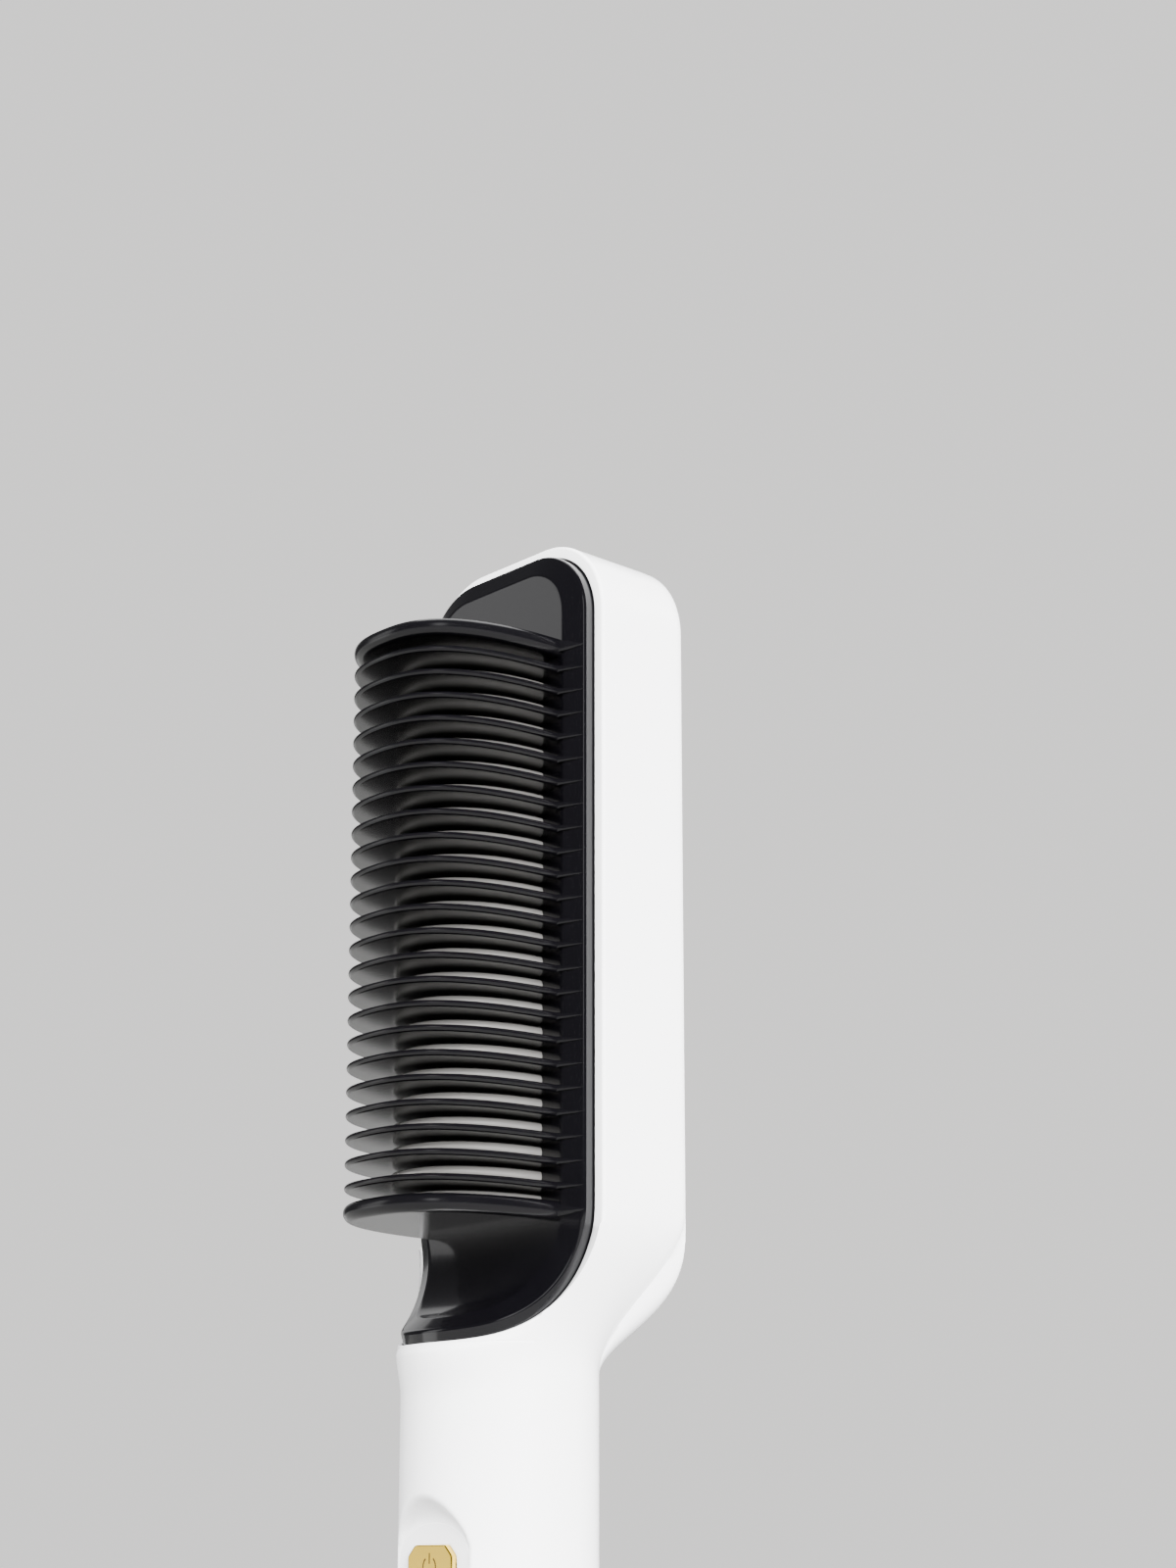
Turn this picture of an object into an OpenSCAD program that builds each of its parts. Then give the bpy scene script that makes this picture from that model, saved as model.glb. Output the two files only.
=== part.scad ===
// Hot comb: a hair-straightening comb on a round handle, standing upright on its tail.
// Millimetres. +Z runs up the handle and the head, the comb faces -Y, the back faces +Y.
// The origin is at the middle of the whole object, on the face that the tail stands on.

/* [Head] */
// Overall length, from the tail face to the top of the head
overall_l = 275; // [262:1:290]
// Length of the head's chin, from the end of the comb plate down to the head's bottom
chin_l = 13.7; // [12.5:0.1:15]
// Width of the head
head_w = 46.6; // [45.5:0.1:50]
// Depth of the head behind the comb plate's face
head_d = 22.1; // [21.5:0.1:24]
// Radius of the head's four corners
head_corner_r = 15; // [12:0.5:18]
// Radius of the edge round the head's back
back_edge_r = 2.5; // [1.5:0.1:3.5]
// Wall of the white shell
wall = 2.4; // [2:0.1:2.8]
// How far the comb plate's face stands out of the shell's rim
plate_proud = 2.2; // [1.8:0.1:2.6]
// Width of the shell's rim beside the comb plate
rim_w = 2.3; // [2:0.1:2.8]

/* [Handle] */
// Diameter of the handle
handle_d = 32.6; // [31.5:0.1:34]
// How far the handle's front stands out past the comb plate's face
handle_front = 15.75; // [15:0.05:16.5]
// Length of the neck that joins the back of the handle to the head
neck_l = 24; // [20:0.5:28]

/* [Comb] */
// Number of thin comb fins between the two end guards
fin_count = 23; // [19:1:23]
// Distance from one fin to the next
fin_pitch = 4; // [3.8:0.05:4.05]
// Thickness of a comb fin
fin_t = 1.3; // [1.1:0.1:1.5]
// Thickness of an end guard
guard_t = 3.4; // [3:0.1:4]
// Width of the comb across its fins
comb_w = 34; // [32:0.5:35]
// Height of the comb over the plate's face
comb_rise = 27.6; // [26:0.1:30]
// Distance from the head's top down to the middle of the top guard
comb_drop = 21.1; // [20:0.1:22]

/* [Heated blades] */
// Width of a heated blade
blade_w = 25; // [23:0.5:26]
// Height of a heated blade over the plate's face
blade_rise = 20; // [18:0.5:22]
// Thickness of a heated blade
blade_t = 1.5; // [1.2:0.1:1.6]
// Gap all round a blade where it passes through the plate
blade_gap = 0.2; // [0.15:0.05:0.3]

/* [Comb plate] */
// Width of the sloping border round the raised panel
border_w = 3.9; // [3:0.1:4.5]
// Height of the raised panel over the border's edge
panel_rise = 1.5; // [1.2:0.1:1.8]
// Radius of the ramp that sweeps from the plate out to the handle's front
ramp_r = 17.2; // [16.5:0.1:18]

/* [Back] */
// Distance from the head's edge to the metal-look frame
frame_inset = 1.8; // [1.6:0.1:2.4]
// Width of the frame
frame_w = 4.1; // [3.5:0.1:5]
// Depth of the recess that the frame and the back panel sit in
back_recess = 1.8; // [1.6:0.1:2]
// How far the panel's face lies below the frame's outer edge
panel_sunk = 1; // [0.8:0.1:1.2]

/* [Heater] */
// Thickness of the heating plate
heat_plate_t = 2.5; // [2:0.1:3]
// Width of one ceramic heating element
element_w = 20; // [16:0.5:22]
// Length of one ceramic heating element
element_l = 34; // [28:0.5:36]
// Thickness of a ceramic heating element
element_t = 2.2; // [1.8:0.1:2.6]
// Thickness of the insulating film on each side of an element
film_t = 0.3; // [0.2:0.05:0.4]
// Thickness of the spring plate that clamps the elements
clamp_t = 1; // [0.8:0.1:1.2]

/* [Controls] */
// Width of the flat control panel
panel_w = 18.4; // [17.6:0.1:19]
// Height of the control panel's arched top over the standing face
panel_top = 113; // [110:0.5:114]
// Height of the control panel's bottom end over the standing face
panel_bottom = 30; // [29:0.5:34]
// Thickness of the control panel
panel_t = 1.6; // [1.4:0.1:1.8]
// Width of the power button
power_w = 11; // [10:0.1:12]
// Height of the power button itself
power_h = 6.4; // [6:0.1:8]
// Height of the power button's middle over the standing face
power_z = 102; // [101:0.1:102.5]
// Diameter of a temperature button
temp_d = 9; // [8:0.1:10]
// Height of the plus button's middle over the standing face
plus_z = 82; // [81:0.5:84]
// Height of the minus button's middle over the standing face
minus_z = 67; // [66:0.5:68]
// How far the buttons stand out of the control panel
button_proud = 1; // [0.9:0.1:1.4]
// How far a button travels when pressed
button_travel = 0.4; // [0.3:0.05:0.5]
// Gap round a button in the control panel
button_gap = 0.2; // [0.15:0.05:0.3]
// Height of the lowest temperature light over the standing face
light_z = 34; // [33:0.5:36]
// Distance from one temperature light to the next
light_pitch = 5.5; // [5:0.1:5.6]
// Number of temperature lights
light_count = 5; // [4:1:5]
// Diameter of one temperature light
light_d = 2; // [1.6:0.1:2.4]

/* [Circuit board] */
// Width of the circuit board
board_w = 19; // [18:0.5:20]
// Thickness of the circuit board
board_t = 1.6; // [1.2:0.1:2]
// Height of the case of a push switch
switch_h = 2.2; // [2:0.1:2.4]
// Side of the square case of a push switch
switch_w = 6; // [5.6:0.1:6.4]

/* [Tail] */
// Thickness of the tail cap's outer flange
cap_t = 3; // [2.5:0.1:4]
// Length of the tail cap's spigot inside the handle
spigot_l = 8; // [7:0.5:9]
// Radius of the cord hole through the swivel gland
cord_r = 3.6; // [3.2:0.1:3.8]
// Radius of the swivel gland's neck
gland_r = 5.9; // [5.6:0.1:6]
// Radial clearance of the swivel gland in the tail cap
gland_gap = 0.08; // [0.05:0.01:0.1]
// Diameter of a self-tapping screw
screw_d = 2.6; // [2.4:0.1:2.8]

/* [Hidden] */
$fn = 48;
eps = 0.01;

// Main places, along Y
plate_y = (comb_rise - head_d) / 2;          // face of the comb plate's edge
rim_y = plate_y + plate_proud;               // front rim of the shell
back_y = plate_y + head_d;                   // back of the head
handle_r = handle_d / 2;
axis_y = plate_y - handle_front + handle_r;  // axis of the handle
back_reach = back_y - axis_y;                // from the handle's axis to the head's back

// Main places, along Z
comb_top_z = overall_l - comb_drop;          // middle of the top guard
comb_low_z = comb_top_z - (fin_count + 1) * fin_pitch;
ramp_z = comb_low_z - guard_t / 2;           // where the ramp starts to leave the plate
head_z = ramp_z - chin_l;                    // bottom of the head
neck_z = head_z - neck_l;                    // where the neck leaves the handle
side_low_z = head_z - 10;                    // where the neck leaves the handle's sides

// The edge between the head's back and its sides, as the power of a superellipse
edge_power = -ln(2) / ln(1 - (1 - 1 / sqrt(2)) * back_edge_r / (head_w / 2));

white = [0.95, 0.95, 0.96];
black = [0.07, 0.07, 0.08];
gold = [0.86, 0.72, 0.42];
steel = [0.7, 0.7, 0.72];

// ---------- curves and helpers ----------

function limit(v) = min(1, max(0, v));
function smooth(v) = limit(v) * limit(v) * (3 - 2 * limit(v));
function reach(a, w, d, p) =
    1 / pow(pow(abs(sin(a)) / w, p) + pow(abs(cos(a)) / d, p), 1 / p);

// Half the width of the head's outline at a height, rounded at the top corners
function top_narrow(z, r) = r - sqrt(max(0, r * r - pow(max(0, z - (overall_l - r)), 2)));
// Height of the head's lower outline at a distance x from the middle
function low_outline(x) =
    let (flat = head_w / 2 - head_corner_r, dx = min(head_corner_r, max(0, x - flat)))
    head_z + head_corner_r - sqrt(pow(head_corner_r, 2) - dx * dx);

// Radius of the shell from the handle's axis, in direction a from +Y, at height z.
// A form has half a width w, a depth d and a handle radius r, and its ends are drawn in by trim.
function slab_reach(a, z, w, d, trim) =
    reach(a, w - top_narrow(z + trim, head_corner_r), d - top_narrow(z + trim, back_edge_r), edge_power);
function blend_low(a) = neck_z + (side_low_z - neck_z) * smooth(a / 20);
function blend_high(a, w, d) = low_outline(min(d * tan(min(a, 80)), w)) + 1.5;
function back_radius(a, z, w, d, r, trim) =
    let (low = blend_low(a) + trim, high = blend_high(a, w, d) + trim)
    r + (slab_reach(a, z, w, d, trim) - r) * smooth((z - low) / (high - low));
function shell_radius(a, z, w, d, r, trim) =
    abs(a) <= 90
        ? back_radius(abs(a), z, w, d, r, trim)
        : reach(a, back_radius(90, z, w, d, r, trim), r, 2);

// Directions round a ring: close together at the two back edges, even round the front
half_steps = 6;
front_steps = 14;
function bunch(u) = pow(u, 1.6);
function ring_angles(w, d) =
    let (c = atan(w / d),
         right = concat(
             [for (i = [0 : half_steps - 1]) c - c * bunch(1 - i / half_steps)],
             [for (i = [0 : half_steps - 1]) c + (90 - c) * bunch(i / half_steps)]))
    concat(right,
           [for (i = [0 : front_steps]) 90 + 180 * i / front_steps],
           [for (i = [1 : len(right) - 1]) 360 - right[len(right) - i]]);

function wrap(a) = a > 180 ? a - 360 : a;
function ring(z, w, d, r, trim) =
    [for (a = ring_angles(w - top_narrow(z + trim, head_corner_r), d))
        let (q = shell_radius(wrap(a), z, w, d, r, trim))
        [q * sin(a), axis_y + q * cos(a), z]];

// Heights of the rings: along the neck, then round the top corners
neck_steps = 15;
neck_end_z = head_z + head_corner_r + 2;
top_angles = [0, 20, 38, 52, 64, 75, 83, 90];
ring_heights = concat(
    [for (i = [0 : neck_steps]) neck_z + (neck_end_z - neck_z) * i / neck_steps],
    [for (t = top_angles) overall_l - head_corner_r * (1 - sin(t))]);

// The shell's shape from the neck up, made smaller by inset, front_inset and trim.
// Its lowest ring lies a hair inside the handle's cylinder, so the two join without a tangent edge.
seam = 0.02;
module shell_form(inset = 0, front_inset = 0, trim = 0) {
    n = len(ring_angles(1, 1));
    m = len(ring_heights);
    rings = [for (z = ring_heights)
        each ring(z, head_w / 2 - inset, back_reach - inset, handle_r - front_inset - seam, trim)];
    ends = [[0, axis_y, ring_heights[0]], [0, axis_y, overall_l]];
    polyhedron(points = concat(rings, ends), faces = concat(
        [for (i = [0 : n - 1]) [m * n, (i + 1) % n, i]],
        [for (k = [0 : m - 2], i = [0 : n - 1])
            let (j = (i + 1) % n) [k * n + i, k * n + j, (k + 1) * n + j]],
        [for (k = [0 : m - 2], i = [0 : n - 1])
            let (j = (i + 1) % n) [k * n + i, (k + 1) * n + j, (k + 1) * n + i]],
        [for (i = [0 : n - 1]) [m * n + 1, (m - 1) * n + i, (m - 1) * n + (i + 1) % n]]));
}

// A cylinder along X through the ramp's centre line
module ramp_rod(r, w = 80) {
    translate([-w / 2, plate_y - ramp_r, ramp_z]) rotate([0, 90, 0])
        cylinder(r = r, h = w, $fn = 96);
}

// A flat outline in X and Z that stands on a straight bottom edge and has round top corners
module door(w, z0, z1, r) {
    translate([-w / 2, z0]) square([w, z1 - r - z0]);
    translate([-w / 2 + r, z0]) square([w - 2 * r, z1 - z0]);
    for (x = [-1, 1]) translate([x * (w / 2 - r), z1 - r]) circle(r = r);
}

// A flat outline in X and Z with four round corners
module round_box(w, z0, z1, r) {
    door(w, z0 + r, z1, r);
    translate([-w / 2 + r, z0]) square([w - 2 * r, r + eps]);
    for (x = [-1, 1]) translate([x * (w / 2 - r), z0 + r]) circle(r = r);
}

// Stands an outline in X and Z up as a plate from y0 to y1
module plate(y0, y1) {
    translate([0, y1, 0]) rotate([90, 0, 0]) linear_extrude(y1 - y0) children();
}

// A rod along Y
module rod_y(x, z, y0, y1, r) {
    translate([x, y0, z]) rotate([-90, 0, 0]) cylinder(r = r, h = y1 - y0);
}

// ---------- shell ----------

cavity_r = handle_r - wall;
inner_back_y = back_y - back_recess - wall;
panel_y = axis_y - sqrt(handle_r * handle_r - panel_w * panel_w / 4); // control panel's face
panel_gap = 0.15;
boss_r = 3;
tail_boss_x = 11;
tail_boss_l = 13;
tail_boss_z = cap_t + spigot_l;
shield_boss_r = 2.6;
shield_low_z = ramp_z + 6;
shield_high_z = overall_l - 26;

pilot_r = screw_d / 2;
shank_r = pilot_r - 0.02;
screw_head_r = screw_d * 0.9;
head_t = 1.4;
board_screw_l = 5;
cover_post_x = head_w / 2 - wall - 2.7;
cover_post_r = 2.3;
shield_boss_x = cover_post_x - cover_post_r - 3.4;
cover_post_z = [ramp_z + 18, overall_l - 36];

module main_housing() {
    color(white) difference() {
        union() {
            difference() {
                union() {
                    translate([0, axis_y, cap_t]) cylinder(r = handle_r, h = neck_z - cap_t + eps, $fn = 96);
                    shell_form();
                }
                translate([0, axis_y, cap_t - 1]) cylinder(r = cavity_r, h = neck_z - cap_t + 2, $fn = 96);
                intersection() {
                    shell_form(inset = wall, front_inset = wall, trim = wall);
                    translate([-head_w, -head_w, neck_z - 1])
                        cube([2 * head_w, head_w + inner_back_y, overall_l - wall - neck_z + 1]);
                }
            }
            // screw bosses inside the tail
            intersection() {
                translate([0, axis_y, tail_boss_z]) cylinder(r = handle_r - wall / 2, h = tail_boss_l);
                for (s = [-1, 1]) {
                    translate([s * tail_boss_x, axis_y, tail_boss_z]) cylinder(r = boss_r, h = tail_boss_l);
                    translate([s * tail_boss_x + (s - 1) / 2 * boss_r * 2, axis_y - boss_r, tail_boss_z])
                        cube([boss_r * 2, boss_r * 2, tail_boss_l]);
                }
            }
            // bosses on the inside of the back wall, for the heat shield
            for (x = [-1, 1], z = [shield_low_z, shield_high_z])
                rod_y(x * shield_boss_x, z, shield_y + shield_t, inner_back_y + eps, shield_boss_r);
            // posts on the inside of the handle's back, for the circuit board
            for (z = board_post_z)
                rod_y(0, z, board_back_y, axis_y + cavity_r + wall / 2, board_post_r);
        }
        // the open front, under the comb plate and its ramp
        translate([-head_w, rim_y - 60, ramp_z]) cube([2 * head_w, 60, overall_l]);
        ramp_rod(ramp_r + plate_proud);
        // the recess for the frame and the back panel
        plate(back_y - back_recess, back_y + 5)
            round_box(head_w - 2 * frame_inset, head_z + frame_inset, overall_l - frame_inset,
                      head_corner_r - frame_inset);
        // the control panel's flat and its opening
        plate(axis_y - handle_r - 1, panel_back_y)
            door(panel_w + 2 * panel_gap, panel_bottom, panel_top, panel_w / 2 + panel_gap - eps);
        // pilot holes
        for (s = [-1, 1])
            translate([s * tail_boss_x, axis_y, tail_boss_z - 1])
                cylinder(r = pilot_r, h = tail_boss_l);
        for (x = [-1, 1], z = [shield_low_z, shield_high_z])
            rod_y(x * shield_boss_x, z, shield_y, inner_back_y - 0.5, pilot_r);
        for (z = board_post_z) rod_y(0, z, board_back_y - 1, board_back_y + board_screw_l, pilot_r);
        // holes and countersinks for the screws that hold the comb cover, under the frame
        for (x = [-1, 1], z = cover_post_z) {
            rod_y(x * cover_post_x, z, inner_back_y - 1, back_y, pilot_r + 0.15);
            rod_y(x * cover_post_x, z, back_y - back_recess - head_t, back_y, screw_head_r + 0.15);
        }
    }
}

// ---------- comb plate, fins and guards: one moulding ----------

plate_half_w = head_w / 2 - rim_w;
plate_top_z = overall_l - rim_w;
plate_corner_r = head_corner_r - rim_w;
fin_power = 2.6;
fin_points = 28;
rib_reach = 2.1;
guard_reach = 0.5;

// Half-round arch of a fin in X and Y, over a base of width w, rising h
function arch(w, h, p) = [for (i = [0 : fin_points])
    let (t = 180 * i / fin_points, c = cos(t), s = sin(t))
    [w / 2 * sign(c) * pow(abs(c), 2 / p), -h * pow(abs(s), 2 / p)]];

module arch_plate(w, h, t, base, z) {
    translate([0, plate_y, z - t / 2]) linear_extrude(t)
        polygon(concat(arch(w, h, fin_power), [[-w / 2, base], [w / 2, base]]));
}

// Low rib that carries a fin out over the sloping border
module border_rib(z, t) {
    translate([0, plate_y, z - t / 2]) linear_extrude(t) for (s = [-1, 1])
        polygon([[s * (comb_w / 2 - 1), 0.5], [s * (comb_w / 2 - 0.4), -panel_rise - 2.4],
                 [s * (comb_w / 2 + 0.5), -panel_rise - 0.5],
                 [s * (comb_w / 2 + rib_reach), -0.6], [s * (comb_w / 2 + rib_reach), 0.5]]);
}

cover_screw_l = 9;
lip_gap = 0.3;
lip_h = 2;
lip_t = 1.5;
lip_rise = 8;
lip_w = head_w - 2 * wall - 2 * lip_gap;
module comb_cover() {
    color(black) difference() {
        union() {
            // plate with its sloping border and raised panel
            hull() {
                plate(plate_y, plate_y + eps)
                    door(2 * plate_half_w, ramp_z, plate_top_z, plate_corner_r);
                plate(plate_y - panel_rise, plate_y - panel_rise + eps)
                    door(2 * (plate_half_w - border_w), ramp_z, plate_top_z - border_w,
                         plate_corner_r - border_w);
            }
            plate(plate_y, rim_y) door(2 * plate_half_w, ramp_z, plate_top_z, plate_corner_r);
            // ramp out to the handle
            intersection() {
                difference() {
                    ramp_rod(ramp_r + plate_proud);
                    ramp_rod(ramp_r);
                }
                shell_form(inset = rim_w, front_inset = 0.5);
                translate([-head_w, plate_y - ramp_r, head_z - 10])
                    cube([2 * head_w, ramp_r + plate_proud + 1, ramp_z - head_z + 10 + eps]);
            }
            // lip that locates the plate inside the shell
            difference() {
                plate(rim_y - eps, rim_y + lip_h)
                    door(lip_w, ramp_z + lip_rise, overall_l - wall - lip_gap, head_corner_r - lip_gap);
                plate(rim_y - 1, rim_y + lip_h + 1)
                    door(lip_w - 2 * lip_t, ramp_z, overall_l - wall - lip_gap - lip_t,
                         head_corner_r - lip_gap - lip_t);
            }
            // fins, end guards and the low ribs on the border
            for (i = [1 : fin_count]) {
                arch_plate(comb_w, comb_rise, fin_t, 0, comb_low_z + i * fin_pitch);
                border_rib(comb_low_z + i * fin_pitch, fin_t);
            }
            for (s = [-1, 1]) {
                z = comb_mid_z + s * (comb_top_z - comb_low_z) / 2;
                arch_plate(comb_w + guard_reach, comb_rise, guard_t, 0, z + s * (guard_t - fin_t) / 2);
                border_rib(z, fin_t);
            }
            // posts that the shell's screws reach
            for (x = [-1, 1], z = cover_post_z)
                rod_y(x * cover_post_x, z, rim_y - 1, inner_back_y - 0.1, cover_post_r);
        }
        for (x = [-1, 1], z = cover_post_z)
            rod_y(x * cover_post_x, z, inner_back_y - cover_screw_l, inner_back_y, pilot_r);
        // slots for the heated blades
        for (i = [0 : fin_count])
            translate([-blade_w / 2 - blade_gap, plate_y - panel_rise - 1,
                       comb_low_z + (i + 0.5) * fin_pitch - blade_t / 2 - blade_gap])
                cube([blade_w + 2 * blade_gap, 20, blade_t + 2 * blade_gap]);
    }
}

// ---------- heater ----------

heat_plate_y = rim_y;
heat_plate_w = blade_w + 6;
heat_plate_low = comb_low_z - 5;
heat_plate_high = comb_top_z + 5;
heat_back_y = heat_plate_y + heat_plate_t;
comb_mid_z = (comb_low_z + comb_top_z) / 2;

module heated_blades() {
    color([0.3, 0.3, 0.32]) {
        difference() {
            plate(heat_plate_y, heat_back_y)
                round_box(heat_plate_w, heat_plate_low, heat_plate_high, 3);
            for (s = [-1, 1])
                rod_y(0, comb_mid_z + s * clamp_screw_z, heat_plate_y + 0.6, heat_back_y + 1, pilot_r);
        }
        for (i = [0 : fin_count])
            arch_plate(blade_w, blade_rise, blade_t, heat_plate_y - plate_y + eps,
                       comb_low_z + (i + 0.5) * fin_pitch);
    }
}

clamp_screw_z = (heat_plate_high - heat_plate_low) / 2 * 0.9;
element_gap = 4;
element_y = heat_back_y + film_t;
clamp_y = element_y + element_t + film_t;
clamp_l = (heat_plate_high - heat_plate_low) * 0.97;

module ceramic_elements() {
    color([0.85, 0.82, 0.75]) for (s = [-1, 1])
        plate(element_y, element_y + element_t)
            translate([-element_w / 2, comb_mid_z + s * (element_l + element_gap) / 2 - element_l / 2])
                square([element_w, element_l]);
}

module insulating_film() {
    color([0.85, 0.55, 0.15]) for (y = [heat_back_y, element_y + element_t])
        plate(y, y + film_t) translate([-element_w / 2 - 1, comb_mid_z - element_l - element_gap / 2 - 1])
            square([element_w + 2, 2 * element_l + element_gap + 2]);
}

// A flat spring plate with a stepped foot at each end, screwed to the heating plate
module clamp_plate() {
    half_l = clamp_l / 2;
    color(steel) difference() {
        for (s = [-1, 1]) plate(clamp_y, clamp_y + clamp_t)
            translate([-element_w / 2 + 1, s > 0 ? comb_mid_z : comb_mid_z - half_l])
                square([element_w - 2, half_l]);
        for (s = [-1, 1])
            rod_y(0, comb_mid_z + s * clamp_screw_z, clamp_y - 1, clamp_y + clamp_t + 1, pilot_r + 0.2);
    }
    color(steel) for (s = [-1, 1]) difference() {
        rod_y(0, comb_mid_z + s * clamp_screw_z, heat_back_y, clamp_y, pilot_r + 1.4);
        rod_y(0, comb_mid_z + s * clamp_screw_z, heat_back_y - 1, clamp_y + 1, pilot_r + 0.2);
    }
}

// A cross-head screw along Y, its head standing on y and its shank reaching length towards -Y
slot_w = 0.7;
slot_l = 2.8;
slot_d = 0.6;
module screw_y(x, z, y, length) {
    rod_y(x, z, y - length, y + eps, shank_r);
    difference() {
        rod_y(x, z, y, y + head_t, screw_head_r);
        translate([x - slot_w / 2, y + head_t - slot_d, z - slot_l / 2]) cube([slot_w, slot_d + eps, slot_l]);
        translate([x - slot_l / 2, y + head_t - slot_d, z - slot_w / 2]) cube([slot_l, slot_d + eps, slot_w]);
    }
}

module clamp_screws() {
    color(steel) for (s = [-1, 1])
        screw_y(0, comb_mid_z + s * clamp_screw_z, clamp_y + clamp_t, clamp_y + clamp_t - heat_plate_y - 0.8);
}

sensor_z = comb_mid_z - element_l - element_gap / 2 - 3.6;
module thermistor() {
    color([0.2, 0.2, 0.22]) translate([-element_w / 2 - 3.6, heat_back_y + 1.1, sensor_z])
        rotate([0, 90, 0]) cylinder(r = 1.1, h = 5);
}

fuse_x = element_w / 2 + 3.4;
module thermal_fuse() {
    color([0.75, 0.75, 0.7]) {
        translate([fuse_x, heat_back_y + 1.5, comb_mid_z - 6]) cylinder(r = 1.5, h = 12);
        translate([fuse_x, heat_back_y + 1.5, comb_mid_z - 9]) cylinder(r = 0.6, h = 18);
    }
}

shield_t = 0.8;
shield_y = clamp_y + clamp_t + 2.6;
module heat_shield() {
    color([0.75, 0.72, 0.62]) difference() {
        plate(shield_y, shield_y + shield_t)
            round_box(2 * (cover_post_x - cover_post_r) - 0.6, ramp_z + 1, overall_l - wall - 6, 8);
        for (x = [-1, 1], z = [shield_low_z, shield_high_z])
            rod_y(x * shield_boss_x, z, shield_y - 1, shield_y + shield_t + 1, pilot_r + 0.15);
    }
}

module shield_screws() {
    color(steel) for (x = [-1, 1], z = [shield_low_z, shield_high_z]) mirror([0, 1, 0])
        screw_y(x * shield_boss_x, z, -shield_y, min(3.5, inner_back_y - shield_y - 0.5));
}

// Four screws through the shell's back wall into the comb cover's posts
module cover_screws() {
    color(steel) for (x = [-1, 1], z = cover_post_z)
        screw_y(x * cover_post_x, z, back_y - back_recess - head_t, cover_screw_l + wall - head_t - 1);
}

// ---------- back ----------

module gold_frame() {
    outer_w = head_w - 2 * frame_inset - 0.1;
    low = head_z + frame_inset + 0.05;
    high = overall_l - frame_inset - 0.05;
    r = head_corner_r - frame_inset - 0.05;
    color(gold) difference() {
        plate(back_y - back_recess, back_y) round_box(outer_w, low, high, r);
        hull() {
            plate(back_y - eps, back_y + 0.1)
                round_box(outer_w - 1.4, low + 0.7, high - 0.7, r - 0.7, $fn = 32);
            plate(back_y - panel_sunk, back_y - panel_sunk + eps)
                round_box(outer_w - 2 * frame_w, low + frame_w, high - frame_w, r - frame_w, $fn = 32);
        }
        plate(back_y - back_recess - 1, back_y)
            round_box(outer_w - 2 * frame_w, low + frame_w, high - frame_w, r - frame_w);
    }
}

module back_panel() {
    inset = frame_inset + frame_w + 0.1;
    color(white) plate(back_y - back_recess, back_y - panel_sunk)
        round_box(head_w - 2 * inset, head_z + inset, overall_l - inset, head_corner_r - inset);
}

// ---------- controls ----------

module octagon_plate(w, h, y0, y1) {
    cut = h * 0.27;
    plate(y0, y1) polygon([[-w / 2 + cut, -h / 2], [w / 2 - cut, -h / 2], [w / 2, -h / 2 + cut],
                           [w / 2, h / 2 - cut], [w / 2 - cut, h / 2], [-w / 2 + cut, h / 2],
                           [-w / 2, h / 2 - cut], [-w / 2, -h / 2 + cut]]);
}

// Button: a cap in the panel, a retaining flange behind it and a stem to the switch
flange_t = 0.8;
stem_r = 1.4;
panel_back_y = panel_y + panel_t;
flange_y = panel_back_y + 0.02;
board_y = panel_back_y + 4.6;
switch_y = board_y - switch_h;
plunger_l = 0.9;

module button_stem(z) {
    translate([0, 0, z]) rod_y(0, 0, flange_y + flange_t - eps, switch_y - plunger_l, stem_r);
}

module power_button() {
    color(gold) {
        translate([0, 0, power_z]) {
            octagon_plate(power_w, power_h, panel_y - button_proud, flange_y + eps);
            octagon_plate(power_w + 1.6, power_h + 1.6, flange_y, flange_y + flange_t);
        }
        button_stem(power_z);
    }
}

module round_button(z) {
    rod_y(0, z, panel_y - button_proud, flange_y + eps, temp_d / 2);
    rod_y(0, z, flange_y, flange_y + flange_t, temp_d / 2 + 0.8);
    button_stem(z);
}
module plus_button() { color(gold) round_button(plus_z); }
module minus_button() { color(gold) round_button(minus_z); }

module control_panel() {
    color(white) difference() {
        plate(panel_y, panel_back_y) door(panel_w, panel_bottom + 0.2, panel_top - 0.2, panel_w / 2 - eps);
        translate([0, 0, power_z])
            octagon_plate(power_w + 2 * button_gap, power_h + 2 * button_gap, panel_y - 1, panel_back_y + 1);
        for (z = [plus_z, minus_z]) rod_y(0, z, panel_y - 1, panel_back_y + 1, temp_d / 2 + button_gap);
        for (i = [0 : light_count - 1])
            rod_y(0, light_z + i * light_pitch, panel_y - 1, panel_back_y + 1, light_d / 2 + 0.03);
    }
}

// One clear moulding: a strip behind the panel with a small dot through it at each light
module light_guide() {
    color([0.9, 0.9, 0.85]) {
        plate(panel_back_y + 0.02, panel_back_y + 1.2)
            translate([-light_d, light_z - light_d])
                square([2 * light_d, (light_count - 1) * light_pitch + 2 * light_d]);
        for (i = [0 : light_count - 1])
            rod_y(0, light_z + i * light_pitch, panel_y, panel_back_y + 0.1, light_d / 2);
    }
}

// ---------- circuit board ----------

board_low = 31;
board_high = panel_top - 4;
board_post_z = [(minus_z + light_z + (light_count - 1) * light_pitch) / 2 - 0.7, (power_z + plus_z) / 2];
board_post_r = 2.4;

module circuit_board() {
    color([0.1, 0.4, 0.2]) difference() {
        plate(board_y, board_y + board_t)
            translate([-board_w / 2, board_low]) square([board_w, board_high - board_low]);
        for (z = board_post_z) rod_y(0, z, board_y - 1, board_back_y + 1, pilot_r + 0.15);
    }
}

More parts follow.
